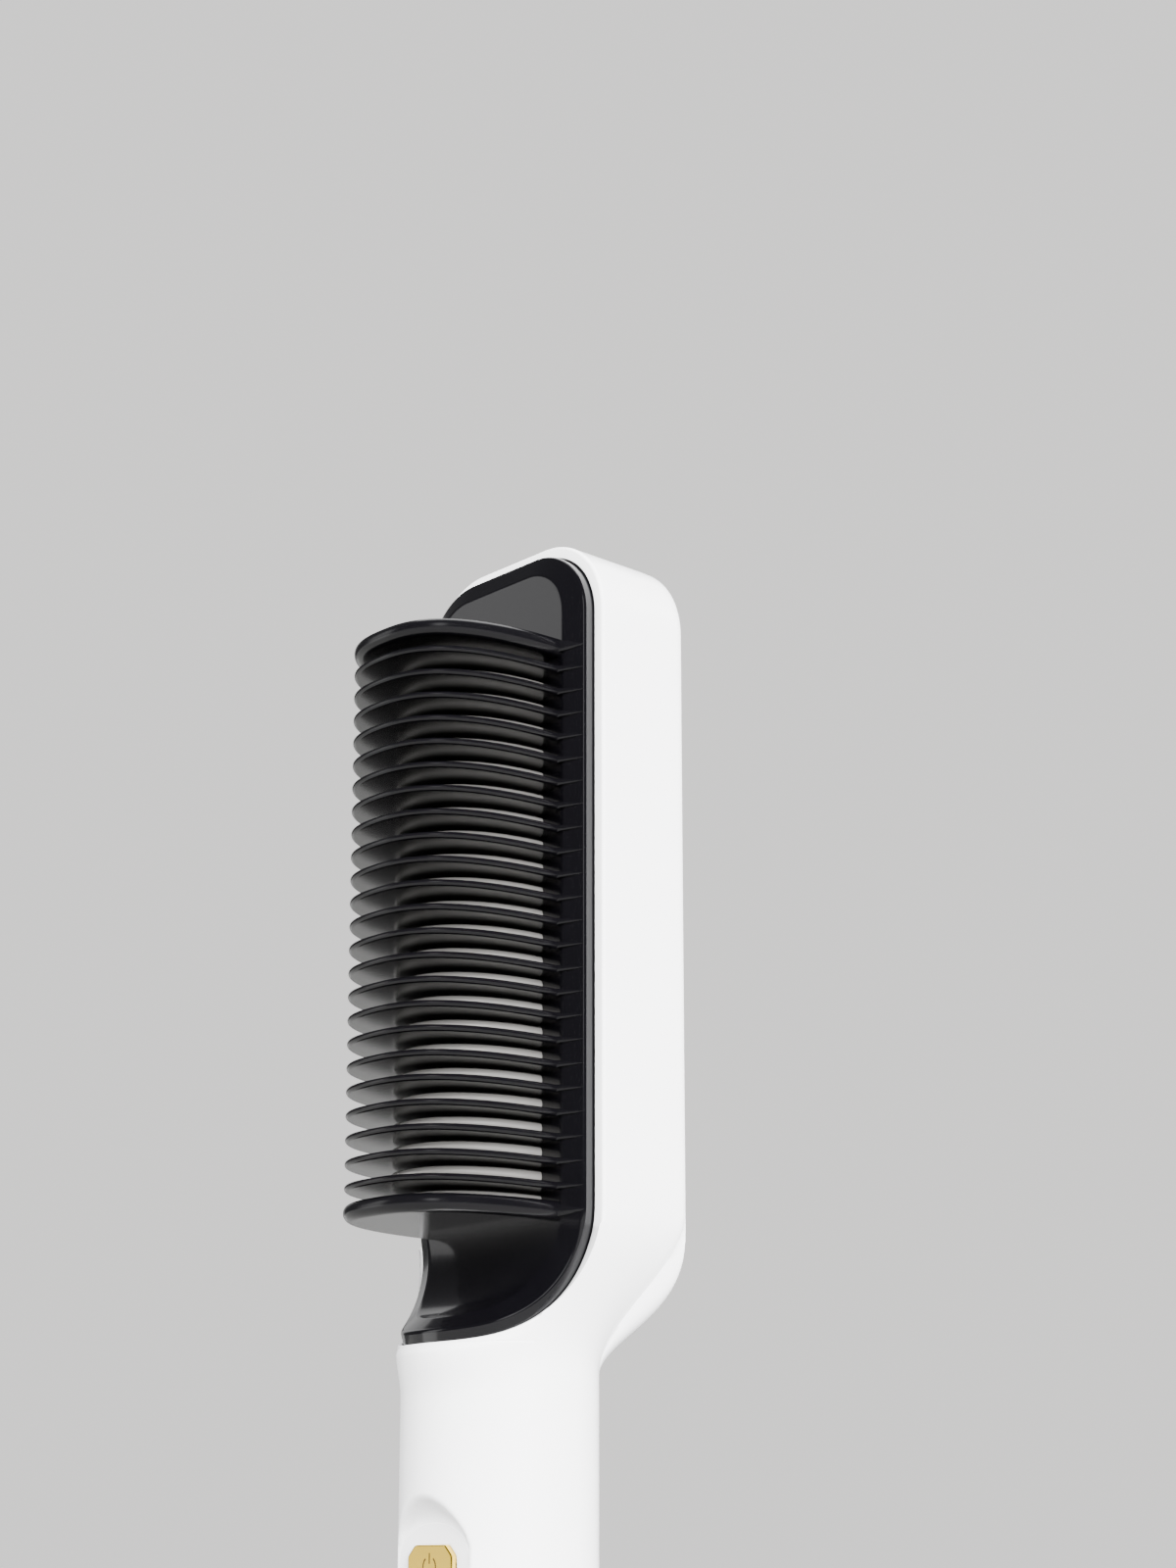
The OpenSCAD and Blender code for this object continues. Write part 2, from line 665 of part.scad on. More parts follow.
module push_switches() {
    color([0.15, 0.15, 0.16]) for (z = [power_z, plus_z, minus_z]) difference() {
        plate(switch_y, board_y) translate([-switch_w / 2, z - switch_w / 2]) square(switch_w);
        rod_y(0, z, switch_y - 1, board_y - 0.6, stem_r + 0.3);
    }
}

module plunger(z) {
    color([0.8, 0.8, 0.8]) rod_y(0, z, switch_y - plunger_l, board_y - 0.6 - button_travel - 0.15, stem_r);
}
module power_plunger() { plunger(power_z); }
module plus_plunger() { plunger(plus_z); }
module minus_plunger() { plunger(minus_z); }

module temperature_lights() {
    color([0.95, 0.95, 0.8]) for (i = [0 : light_count - 1])
        translate([-0.8, board_y - 1.1, light_z + i * light_pitch - 1.2]) cube([1.6, 1.1, 2.4]);
}

board_back_y = board_y + board_t;
module triac() {
    color([0.1, 0.1, 0.11]) difference() {
        translate([-9, board_back_y, board_high - 14]) cube([9, 4.4, 10]);
        rod_y(-4.5, board_high - 6.5, board_back_y - 1, board_back_y + 6, 1.6);
    }
}
module filter_capacitor() {
    color([0.75, 0.15, 0.12]) translate([-6.5, board_back_y, board_low + 9]) cube([13, 6, 14]);
}
module board_fuse() {
    color([0.85, 0.8, 0.6]) translate([5.5, board_back_y + 2.6, board_low + 38]) cylinder(r = 2.6, h = 12);
}
module board_screws() {
    color(steel) for (z = board_post_z) mirror([0, 1, 0])
        screw_y(0, z, -board_y, board_t + board_screw_l - 0.5);
}

// ---------- leads: swept tubes of eight sides ----------

lead_r = 0.9;
thin_lead_r = 0.6;
lead_sides = 8;

function unit(v) = v / norm(v);
// Direction of a route at its point i
function heading(route, i) =
    unit(route[min(i + 1, len(route) - 1)] - route[max(i - 1, 0)]);
function lead_ring(route, i, r) =
    let (t = heading(route, i), u = unit(cross([1, 0.01, 0], t)), v = cross(t, u))
    [for (k = [0 : lead_sides - 1])
        let (a = 360 * k / lead_sides) route[i] + r * (cos(a) * u + sin(a) * v)];

module lead(route, r) {
    n = lead_sides;
    m = len(route);
    polyhedron(points = [for (i = [0 : m - 1]) each lead_ring(route, i, r)], faces = concat(
        [[for (k = [0 : n - 1]) k]],
        [for (i = [0 : m - 2], k = [0 : n - 1]) [i * n + k, (i + 1) * n + k, i * n + (k + 1) % n]],
        [for (i = [0 : m - 2], k = [0 : n - 1])
            [i * n + (k + 1) % n, (i + 1) * n + k, (i + 1) * n + (k + 1) % n]],
        [[for (k = [n - 1 : -1 : 0]) (m - 1) * n + k]]));
}

// The heater's two leads run from the board's top up the neck to the elements
route_low = max(neck_z, board_high + 6);
route_high = max(head_z, route_low + 6);
route_rise = (route_high - route_low) / 3;
module heater_leads() {
    color([0.85, 0.85, 0.85]) for (s = [-1, 1]) lead([
        [s * 4, board_back_y + 1.2, board_high - 3], [s * 4, board_back_y + 2.6, board_high + 3],
        [s * 4, 0, route_low], [s * 4.4, 1.5, route_low + route_rise],
        [s * 5, 4.5, route_high - route_rise], [s * 5.6, 7.6, route_high],
        [s * 6, element_y + element_t / 2, ramp_z - 6], [s * 6.6, element_y + element_t / 2, ramp_z + 2],
        [s * 6.6, element_y + element_t / 2, comb_mid_z - element_l - element_gap / 2]], lead_r);
}

module sensor_leads() {
    color([0.9, 0.9, 0.3]) for (x = [0, 1.6]) lead([
        [x - 8, board_back_y + 0.8, board_high - 3],
        [x - 8, board_back_y + 2.4, board_high + 4],
        [x - 8, 1, route_low + 2], [x - 8.6, 5, route_high - route_rise], [x - 9.4, 9, route_high],
        [x - 11.4, heat_back_y + 4, ramp_z - 4], [x - 12.6, heat_back_y + 2, sensor_z - 6],
        [x - 12.6, heat_back_y + 1.1, sensor_z - 1.1]], thin_lead_r);
}

module mains_leads() {
    color([0.4, 0.25, 0.15]) for (x = pin_places) lead([
        [x, axis_y, carrier_z + carrier_t], [x, axis_y, carrier_z + carrier_t + 2],
        [x, board_back_y + 2.6, board_low + 1], [x, board_back_y + 1.2, board_low + 4],
        [x, board_back_y + 1.2, board_low + 7]], lead_r);
}

// ---------- tail ----------

spigot_r = cavity_r - 0.1;
collar_r = gland_r + 2;
collar_t = 2;
gland_low = 0.6;
gland_high = cap_t + spigot_l + 4;
clip_z = cap_t + spigot_l + 0.1;
clip_t = 1;
bore_r = gland_r + gland_gap;

module tail_cap() {
    color(white) difference() {
        union() {
            translate([0, axis_y, 1]) cylinder(r = handle_r, h = cap_t - 1, $fn = 96);
            translate([0, axis_y, 0]) cylinder(r1 = handle_r - 1, r2 = handle_r, h = 1, $fn = 96);
            translate([0, axis_y, cap_t - eps]) cylinder(r = spigot_r, h = spigot_l + eps, $fn = 96);
        }
        translate([0, axis_y, -1]) cylinder(r = bore_r, h = cap_t + spigot_l + 2);
        translate([0, axis_y, -1]) cylinder(r = collar_r + 0.3, h = gland_low + collar_t + 0.1 + 1);
        for (s = [-1, 1]) translate([s * tail_boss_x, axis_y, -1]) {
            cylinder(r = pilot_r + 0.2, h = cap_t + spigot_l + 2);
            cylinder(r = screw_head_r + 0.2, h = 1 + tail_head_z);
        }
    }
}

tail_head_z = 3.2;
module tail_screws() {
    color(steel) for (s = [-1, 1]) translate([s * tail_boss_x, axis_y, tail_head_z]) {
        cylinder(r = shank_r, h = tail_boss_z + tail_boss_l - tail_head_z - 3);
        difference() {
            translate([0, 0, -head_t]) cylinder(r = screw_head_r, h = head_t);
            translate([-slot_w / 2, -slot_l / 2, -head_t - eps]) cube([slot_w, slot_l, slot_d + eps]);
            translate([-slot_l / 2, -slot_w / 2, -head_t - eps]) cube([slot_l, slot_w, slot_d + eps]);
        }
    }
}

// The gland turns with the cord: a collar below, a neck through the cap, a clip above
module swivel_gland() {
    color([0.2, 0.2, 0.22]) difference() {
        union() {
            translate([0, axis_y, gland_low]) cylinder(r = collar_r, h = collar_t);
            translate([0, axis_y, gland_low]) cylinder(r = gland_r, h = gland_high - gland_low);
        }
        translate([0, axis_y, gland_low - 1]) cylinder(r = cord_r, h = gland_high - gland_low + 2);
        // groove for the clip
        translate([0, axis_y, clip_z - 0.02]) difference() {
            cylinder(r = gland_r + 1, h = clip_t + 0.04);
            translate([0, 0, -1]) cylinder(r = gland_r - 0.9, h = clip_t + 3);
        }
    }
}

module gland_clip() {
    color(steel) translate([0, axis_y, clip_z]) difference() {
        cylinder(r = gland_r + 0.9, h = clip_t);
        translate([0, 0, -1]) cylinder(r = gland_r - 0.9, h = clip_t + 2);
        translate([-1.5, 0, -1]) cube([3, gland_r + 3, clip_t + 2]);
    }
}

ring_w = 0.7;
ring_t = 0.5;
inner_ring_r = cord_r + 0.3;
outer_ring_r = gland_r - ring_w - 0.15;
module slip_rings() {
    color(gold) for (r = [inner_ring_r, outer_ring_r])
        translate([0, axis_y, gland_high]) difference() {
            cylinder(r = r + ring_w, h = ring_t);
            translate([0, 0, -1]) cylinder(r = r, h = ring_t + 2);
        }
}

carrier_t = 1.6;
carrier_z = tail_boss_z + tail_boss_l;
pin_places = [inner_ring_r + ring_w / 2, -outer_ring_r - ring_w / 2];
pin_r = 0.5;
pin_low = gland_high + ring_t + 0.05;
module contact_carrier() {
    color([0.25, 0.25, 0.27]) difference() {
        translate([0, axis_y, carrier_z]) cylinder(r = cavity_r - 0.2, h = carrier_t);
        for (x = pin_places) translate([x, axis_y, carrier_z - 1]) cylinder(r = pin_r, h = carrier_t + 2);
    }
}

module contact_pins() {
    color(gold) for (x = pin_places)
        translate([x, axis_y, pin_low]) cylinder(r = pin_r, h = carrier_z + carrier_t - pin_low);
}

main_housing();
comb_cover();
heated_blades();
ceramic_elements();
insulating_film();
clamp_plate();
clamp_screws();
thermistor();
thermal_fuse();
heat_shield();
shield_screws();
cover_screws();
gold_frame();
back_panel();
control_panel();
power_button();
plus_button();
minus_button();
light_guide();
circuit_board();
push_switches();
power_plunger();
plus_plunger();
minus_plunger();
temperature_lights();
triac();
filter_capacitor();
board_fuse();
board_screws();
heater_leads();
sensor_leads();
mains_leads();
tail_cap();
tail_screws();
swivel_gland();
gland_clip();
slip_rings();
contact_carrier();
contact_pins();
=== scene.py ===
# %% [markdown]
# # A hot comb, dressed in Blender
# The comb is a white shell with a round handle, a black comb moulding on its front, metal blades between
# the fins, a pale gold frame on its back and a few buttons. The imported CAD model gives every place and
# size. This lesson builds the surfaces that the eye sees, and gives every solid a finish of its own.

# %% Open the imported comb
import math

import bmesh
import bpy
import numpy as np
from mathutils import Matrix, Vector


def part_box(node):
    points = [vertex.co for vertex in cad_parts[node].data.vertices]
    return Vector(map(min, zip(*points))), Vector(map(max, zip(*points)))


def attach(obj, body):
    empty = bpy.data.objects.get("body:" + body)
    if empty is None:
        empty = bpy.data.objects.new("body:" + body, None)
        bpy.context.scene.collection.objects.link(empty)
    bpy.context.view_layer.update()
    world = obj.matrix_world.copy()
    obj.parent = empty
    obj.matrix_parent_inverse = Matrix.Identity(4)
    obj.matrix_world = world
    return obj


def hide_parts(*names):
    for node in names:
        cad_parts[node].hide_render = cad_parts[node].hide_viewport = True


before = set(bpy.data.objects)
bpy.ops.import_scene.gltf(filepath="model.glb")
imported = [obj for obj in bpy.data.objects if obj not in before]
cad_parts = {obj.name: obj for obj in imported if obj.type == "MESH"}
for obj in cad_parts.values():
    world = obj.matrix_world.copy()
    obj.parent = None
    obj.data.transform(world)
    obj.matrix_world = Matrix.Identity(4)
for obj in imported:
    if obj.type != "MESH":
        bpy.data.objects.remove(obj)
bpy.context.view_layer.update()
MM = 0.001

# %% [markdown]
# ## Sizes
# A piece that replaces a CAD solid has to sit where that solid is. The places are read from the boxes of
# the CAD nodes where a box tells them, and the rest are the same numbers that the CAD source uses. All
# of them are in millimetres, and become metres only when a vertex is placed.

# %% Sizes of the comb
def box_mm(node):
    low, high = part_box(node)
    return low / MM, high / MM

shell_low, shell_high = box_mm("main_housing")
TOP = shell_high.z                      # top of the head
HALF_W = shell_high.x                   # half the head's width
BACK_Y = shell_high.y                   # back of the head
HANDLE_R = 16.3
AXIS_Y = shell_low.y + HANDLE_R         # axis of the handle
TAIL_Z = shell_low.z                    # where the tail cap starts
BACK_REACH = BACK_Y - AXIS_Y
CORNER_R, BACK_EDGE_R = 15.0, 2.5
PLATE_Y = BACK_Y - 22.1                 # face of the comb plate's edge
PROUD, RIM_W = 2.2, 2.3                 # the plate stands out of the rim, and inside it
RIM_Y = PLATE_Y + PROUD
RAMP_R = 17.2
COMB_TOP, PITCH, FINS = TOP - 21.1, 4.0, 23
COMB_LOW = COMB_TOP - (FINS + 1) * PITCH
RAMP_Z = COMB_LOW - 1.7                 # where the ramp leaves the plate
HEAD_Z = RAMP_Z - 13.7                  # bottom of the head
NECK_Z, SIDE_Z = HEAD_Z - 24, HEAD_Z - 10
EDGE_POWER = -math.log(2) / math.log(1 - (1 - 1 / math.sqrt(2)) * BACK_EDGE_R / HALF_W)
PANEL_Y = AXIS_Y - math.sqrt(HANDLE_R ** 2 - 9.2 ** 2)
print(f"axis y {AXIS_Y:.2f}, plate y {PLATE_Y:.2f}, panel y {PANEL_Y:.2f}")
print(f"the ramp starts at z {RAMP_Z:.2f}, the head at z {HEAD_Z:.2f}")

# %% [markdown]
# ## Camera, light and floor
# The photograph looks at the comb from its front right, level, from about 44 cm away. Its upright lines
# stay upright, so most of the framing is a shift of the lens. Only part of that shift is used here, and
# the camera tips up for the rest. Soft boxes at both sides draw the long highlights that black gloss
# plastic needs. The pale world and three very soft suns keep the white shell bright, but they would lie
# on the black gloss like fog, so mirror-like reflections see only the narrow boxes and a dimmer world.

# %% Camera at the photograph's viewing angle
LENS_PX, HORIZON_PX, PICTURE_H = 2700.0, 1616.0, 1600       # the photograph's own pixels
SENSOR_H, SHIFT = 36, 0.125
turn = math.radians(47.4)
tip = math.atan((HORIZON_PX - (0.5 + SHIFT) * PICTURE_H) / LENS_PX)
bpy.ops.object.camera_add(location=(0.3324, -0.2827, 0.0992),
                          rotation=(math.radians(90) + tip, 0, turn))
camera = bpy.context.object
camera.name = "photo_camera"
camera.data.sensor_fit = "VERTICAL"
camera.data.sensor_height = SENSOR_H
camera.data.lens = SENSOR_H * LENS_PX / PICTURE_H
camera.data.shift_y = SHIFT
camera.data.clip_start, camera.data.clip_end = 0.01, 20
bpy.context.scene.camera = camera
print(f"lens {camera.data.lens:.1f} mm, tipped up {math.degrees(tip):.1f} degrees")

# %% Three soft suns and five soft boxes
middle = (0, 0, 0.17)                   # a point inside the comb that all lights aim at

def aimed_light(name, kind, place, energy):
    bpy.ops.object.light_add(type=kind, location=place)
    lamp = bpy.context.object
    lamp.name = name
    lamp.data.energy = energy
    lamp.rotation_euler = (Vector(middle) - Vector(place)).to_track_quat("-Z", "Y").to_euler()
    return lamp

def soft_box(name, place, size, power):
    lamp = aimed_light(name, "AREA", place, power)
    lamp.data.shape = "RECTANGLE"
    lamp.data.size, lamp.data.size_y = size

def broad_fill(name, place, strength):
    """A very soft sun: it lights the floor evenly out to the horizon, and no mirror shows it."""
    lamp = aimed_light(name, "SUN", place, strength)
    lamp.data.angle = math.radians(45)
    lamp.visible_glossy = False

broad_fill("right_fill", (1.00, -0.25, 0.55), 24.0)
broad_fill("back_fill", (-0.45, 1.00, 0.60), 11.0)
broad_fill("front_fill", (-0.25, -1.00, 0.55), 7.0)
soft_box("left_glow", (-0.85, -0.85, 0.25), (0.42, 1.4), 2.3)
soft_box("right_glow", (0.80, -0.90, 0.75), (0.35, 0.7), 1.7)
soft_box("edge_glow", (-0.95, 0.35, 0.35), (0.3, 0.9), 0.5)
soft_box("gold_glow", (0.55, 0.95, 0.45), (0.35, 1.2), 3.2)
soft_box("top_glow", (-0.2, 0.3, 1.15), (0.7, 0.7), 4.0)

# %% The world, dimmer in mirrors, and the floor
world = bpy.data.worlds.new("pale_studio")
bpy.context.scene.world = world
world.use_nodes = True
sky, sky_links = world.node_tree.nodes, world.node_tree.links
pale, dim = sky["Background"], sky.new("ShaderNodeBackground")
pale.inputs["Color"].default_value = (0.83, 0.82, 0.81, 1)
pale.inputs["Strength"].default_value = 1.4
dim.inputs["Color"].default_value = (0.80, 0.80, 0.82, 1)
dim.inputs["Strength"].default_value = 0.13
ray, both = sky.new("ShaderNodeLightPath"), sky.new("ShaderNodeMixShader")
sky_links.new(ray.outputs["Is Glossy Ray"], both.inputs["Fac"])
sky_links.new(pale.outputs["Background"], both.inputs[1])
sky_links.new(dim.outputs["Background"], both.inputs[2])
sky_links.new(both.outputs["Shader"], sky["World Output"].inputs["Surface"])

bpy.ops.mesh.primitive_plane_add(size=24, location=(0, 0, 0))
floor = bpy.context.object
floor.name = "studio_floor"
print("floor:", [round(side) for side in floor.dimensions], "m")

# %% [markdown]
# ## Finishes
# A moulded plastic is never one flat colour. Its gloss wavers a little where the mould was polished, and
# its colour shifts by a hair. Each finish starts from a Principled shader, and noise in Object
# coordinates drives the colour, the roughness and a faint bump, so the pattern stays on the piece.

# %% A maker for moulded finishes
def finish(name, color, rough, shift=0.04, rough_shift=0.04, scale=60, bump=0.02, bump_scale=900,
           metallic=0.0, coat=0.0, clear=0.0, stretch=(1, 1, 1)):
    """A material whose colour, roughness and relief all waver a little round the given values."""
    material = bpy.data.materials.new(name)
    material.use_nodes = True
    nodes, links = material.node_tree.nodes, material.node_tree.links
    shader = nodes["Principled BSDF"]
    shader.inputs["Metallic"].default_value = metallic
    shader.inputs["Coat Weight"].default_value = coat
    shader.inputs["Transmission Weight"].default_value = clear
    place = nodes.new("ShaderNodeTexCoord")
    mapping = nodes.new("ShaderNodeMapping")
    mapping.inputs["Scale"].default_value = stretch
    links.new(place.outputs["Object"], mapping.inputs["Vector"])

    def noise(size, detail):
        node = nodes.new("ShaderNodeTexNoise")
        node.inputs["Scale"].default_value = size
        node.inputs["Detail"].default_value = detail
        links.new(mapping.outputs["Vector"], node.inputs["Vector"])
        return node.outputs["Fac"]

    broad, fine = noise(scale, 3), noise(bump_scale, 2)
    tone = nodes.new("ShaderNodeMix")
    tone.data_type = "RGBA"
    tone.inputs["A"].default_value = (*[max(0, c * (1 - shift)) for c in color], 1)
    tone.inputs["B"].default_value = (*[min(1, c * (1 + shift)) for c in color], 1)
    links.new(broad, tone.inputs["Factor"])
    links.new(tone.outputs["Result"], shader.inputs["Base Color"])
    gloss = nodes.new("ShaderNodeMapRange")
    gloss.inputs["To Min"].default_value = max(0.02, rough - rough_shift)
    gloss.inputs["To Max"].default_value = rough + rough_shift
    links.new(broad, gloss.inputs["Value"])
    links.new(gloss.outputs["Result"], shader.inputs["Roughness"])
    relief = nodes.new("ShaderNodeBump")
    relief.inputs["Strength"].default_value = bump
    relief.inputs["Distance"].default_value = 0.0002
    links.new(fine, relief.inputs["Height"])
    links.new(relief.outputs["Normal"], shader.inputs["Normal"])
    return material

# %% The finishes of this comb
white_gloss = finish("white_moulded_gloss", (0.86, 0.86, 0.87), 0.22, shift=0.012, coat=0.3)
black_gloss = finish("black_moulded_gloss", (0.0012, 0.0011, 0.0016), 0.14, shift=0.2, coat=0.2)
black_satin = finish("black_moulded_satin", (0.0016, 0.0015, 0.0020), 0.23, shift=0.2, rough_shift=0.02)
dark_metal = finish("dark_coated_metal", (0.52, 0.507, 0.487), 0.25, metallic=0.70, scale=40, bump=0.05,
                    stretch=(1, 1, 12))
pale_gold = finish("pale_gold_plating", (0.99, 0.67, 0.09), 0.17, metallic=1.0, shift=0.03, bump=0.01)
deep_gold = finish("deep_gold_inlay", (0.16, 0.10, 0.03), 0.38, metallic=0.8)
panel_gloss = finish("panel_gloss", (0.84, 0.84, 0.85), 0.16, shift=0.01, coat=0.4)
plain_steel = finish("plain_steel", (0.56, 0.56, 0.57), 0.3, metallic=1.0, scale=200, stretch=(1, 1, 6))
fired_ceramic = finish("fired_ceramic", (0.80, 0.77, 0.69), 0.55, scale=300, bump=0.15)
amber_film = finish("amber_film", (0.62, 0.33, 0.07), 0.2)
dark_plastic = finish("dark_textured_plastic", (0.05, 0.05, 0.055), 0.45, bump=0.2, bump_scale=1500)
grey_plastic = finish("grey_plastic", (0.5, 0.5, 0.5), 0.4)
solder_mask = finish("green_solder_mask", (0.02, 0.16, 0.07), 0.3, shift=0.15, scale=150)
moulded_red = finish("moulded_red", (0.45, 0.05, 0.03), 0.28)
mica_sheet = finish("mica_sheet", (0.50, 0.43, 0.31), 0.5, shift=0.2, scale=120, bump=0.2)
clear_guide = finish("clear_guide", (0.86, 0.88, 0.86), 0.12, clear=0.5)
silicone_lead = finish("silicone_lead", (0.62, 0.62, 0.60), 0.5)
plain_brass = finish("plain_brass", (0.70, 0.53, 0.24), 0.25, metallic=1.0)
studio_grey = finish("studio_floor_paint", (0.15, 0.15, 0.148), 0.7, shift=0.02, scale=8)
floor.data.materials.append(studio_grey)
print("finishes:", len(bpy.data.materials))

# %% [markdown]
# Most of the comb is inside: board, heaters, screws and leads. Those solids have the right shape already,
# so they only need a finish each. The nine outer ones get one too, although modelled pieces will stand
# for them later.

# %% Every CAD solid gets its finish
nodes_of = (
    (white_gloss, "main_housing tail_cap"),
    (black_gloss, "comb_cover"),
    (dark_metal, "heated_blades"),
    (pale_gold, "gold_frame power_button plus_button minus_button"),
    (panel_gloss, "back_panel control_panel"),
    (plain_steel, "clamp_plate clamp_screws shield_screws cover_screws board_screws tail_screws "
                  "thermal_fuse gland_clip"),
    (fired_ceramic, "ceramic_elements board_fuse"),
    (amber_film, "insulating_film"),
    (dark_plastic, "thermistor push_switches triac swivel_gland contact_carrier"),
    (grey_plastic, "power_plunger plus_plunger minus_plunger"),
    (solder_mask, "circuit_board"),
    (moulded_red, "filter_capacitor"),
    (mica_sheet, "heat_shield"),
    (clear_guide, "light_guide temperature_lights"),
    (silicone_lead, "heater_leads sensor_leads mains_leads"),
    (plain_brass, "slip_rings contact_pins"),
)
finished = [(node, material) for material, names in nodes_of for node in names.split()]
for node, material in finished:
    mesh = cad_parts[node].data
    mesh.materials.clear()
    mesh.materials.append(material)
print("solids with a finish:", len(finished), "of", len(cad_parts))

# %% [markdown]
# ## Modelling rings
# Most of these pieces are mouldings: an outline that is drawn out of the mould with small roundings at
# its edges. By hand one starts from a circle, pulls its corners onto the outline, and extrudes ring
# after ring. A whole-number layer on the corners remembers which corner is which, so each extruded ring
# can be put on its own outline.

# %% Helpers that pick pieces and draw rings
def pick(*pieces):
    """Select these pieces alone, the first one active."""
    bpy.ops.object.select_all(action="DESELECT")
    for piece in pieces:
        piece.select_set(True)
    bpy.context.view_layer.objects.active = pieces[0]

def join(pieces):
    pick(*pieces)
    bpy.ops.object.join()
    return pieces[0]

def start_ring(name, points):
    """A circle whose numbered corners are pulled onto an outline. It stays open for editing."""
    bpy.ops.object.select_all(action="DESELECT")
    bpy.ops.mesh.primitive_circle_add(vertices=len(points), radius=0.01)
    piece = bpy.context.object
    piece.name = piece.data.name = name
    bpy.ops.object.mode_set(mode="EDIT")
    bpy.ops.mesh.select_mode(type="VERT")
    mesh = bmesh.from_edit_mesh(piece.data)
    corner = mesh.verts.layers.int.new("corner")
    for index, vert in enumerate(mesh.verts):
        vert[corner] = index
        vert.co = Vector(points[index]) * MM
    bmesh.update_edit_mesh(piece.data)
    bpy.ops.mesh.select_all(action="SELECT")
    return piece

def next_ring(piece, points):
    """Extrude what is selected, and put every new corner on the next outline."""
    bpy.ops.mesh.extrude_region_move()
    mesh = bmesh.from_edit_mesh(piece.data)
    corner = mesh.verts.layers.int["corner"]
    for vert in mesh.verts:
        if vert.select:
            vert.co = Vector(points[vert[corner]]) * MM
    bmesh.update_edit_mesh(piece.data)

# %% [markdown]
# A moulding is finished in the same way each time: doubled corners are merged, faces are turned outwards,
# and the shading is smooth but for crisp edges. Weighted normals keep large flat faces flat in their
# reflections, as a polished mould leaves them.

# %% Helpers that finish a piece
def shade(piece, angle, keep_sharp=True):
    """Smooth shading with crisp edges from an angle on, and normals that lean to the large faces."""
    bpy.ops.object.shade_smooth_by_angle(angle=math.radians(angle), keep_sharp_edges=keep_sharp)
    bpy.ops.object.modifier_add(type="WEIGHTED_NORMAL")
    piece.modifiers[-1].keep_sharp = True
    bpy.ops.object.modifier_apply(modifier=piece.modifiers[-1].name)

def clean_and_leave(piece, angle):
    """Merge doubled corners, turn every face outwards, leave the editing and shade the piece."""
    bpy.ops.mesh.select_all(action="SELECT")
    bpy.ops.mesh.remove_doubles(threshold=1e-6)
    bpy.ops.mesh.normals_make_consistent(inside=False)
    bpy.ops.object.mode_set(mode="OBJECT")
    shade(piece, angle)

def moulding(name, rings, angle=35):
    """Fill the first outline, and draw it out through all the others."""
    piece = start_ring(name, rings[0])
    bpy.ops.mesh.edge_face_add()
    bpy.ops.mesh.select_all(action="SELECT")
    for points in rings[1:]:
        next_ring(piece, points)
    clean_and_leave(piece, angle)
    return piece

def dress(piece, material, body, slot, *nodes):
    """Give a piece its finish and its body, and hide the CAD nodes that it stands for. The slot is not used.
    """
    piece.data.materials.clear()
    piece.data.materials.append(material)
    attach(piece, body)
    if nodes:
        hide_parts(*nodes)
    print(f"{piece.name}: {len(piece.data.polygons)} faces, size "
          f"{[round(d / MM, 2) for d in piece.dimensions]} mm")

# %% [markdown]
# ## The white shell
# The real shell is one injection moulding: a round handle whose back swells into a flat head with round
# corners, while its front is cut open for the comb moulding. Joining a cylinder to a rounded box leaves
# a crease at the neck. So the skin is a grid, wrapped like a sheet of paper: its rows are heights, its
# columns are directions round the handle's axis, and the same rule for the radius that the CAD solid
# follows puts each corner in place. Extra columns roll over the rim of the opening.

# %% The shell's radius at a height and a direction
def limit(value):
    return np.clip(value, 0.0, 1.0)

def smooth(value):
    share = limit(value)
    return share * share * (3 - 2 * share)

def reach(way, width, depth, power):
    """Radius of a superellipse in one direction: power 2 is an oval, a high power almost a box."""
    across, back = np.abs(np.sin(way)) / width, np.abs(np.cos(way)) / depth
    return 1 / (across ** power + back ** power) ** (1 / power)

def top_narrow(z, r):
    """How far a rounding of radius r at the top has drawn the outline in at height z."""
    rise = np.maximum(0, z - (TOP - r))
    return r - np.sqrt(np.maximum(0, r * r - rise ** 2))

def low_outline(x):
    """Height of the head's lower outline, with its round corners, at a distance x from the middle."""
    past = np.clip(x - (HALF_W - CORNER_R), 0, CORNER_R)
    return HEAD_Z + CORNER_R - np.sqrt(CORNER_R ** 2 - past * past)

def back_radius(way, z, width, depth, handle_r):
    """The back half: the handle's circle below, the head's slab above, a soft swell between them."""
    slab = reach(way, width - top_narrow(z, CORNER_R), depth - top_narrow(z, BACK_EDGE_R), EDGE_POWER)
    low = NECK_Z + (SIDE_Z - NECK_Z) * smooth(np.degrees(way) / 20)
    high = low_outline(np.minimum(depth * np.tan(np.minimum(way, math.radians(80))), width)) + 1.5
    return handle_r + (slab - handle_r) * smooth((z - low) / (high - low))

print(f"each side of the head stands {HALF_W - HANDLE_R:.2f} mm out of the handle")

# %% [markdown]
# The handle's front meets the black ramp at a lip. There the real moulding swells a little towards the
# comb, and draws back just under its edge, so the lip catches a thin highlight.

# %% The skin, with its swollen lip
FLARE, FLARE_LOW, FLARE_RISE = 0.75, 8.5, 6.7       # the lip's swell, its start below the lip, its length
DRAW, DRAW_LOW, DRAW_RISE = 0.42, 1.7, 1.5          # the same for the skin that draws back at the edge
lip_turns, lip_heights = np.array([0.0, math.pi]), np.array([1e3, 1e3])

def lip_flare(way, z):
    """The handle's front swells towards the comb, and draws back just below its lip."""
    below = z - np.interp(np.abs(way), lip_turns, lip_heights)
    swell = FLARE * smooth((below + FLARE_LOW) / FLARE_RISE) - DRAW * smooth((below + DRAW_LOW) / DRAW_RISE)
    return swell * smooth((np.degrees(np.abs(way)) - 100) / 50)

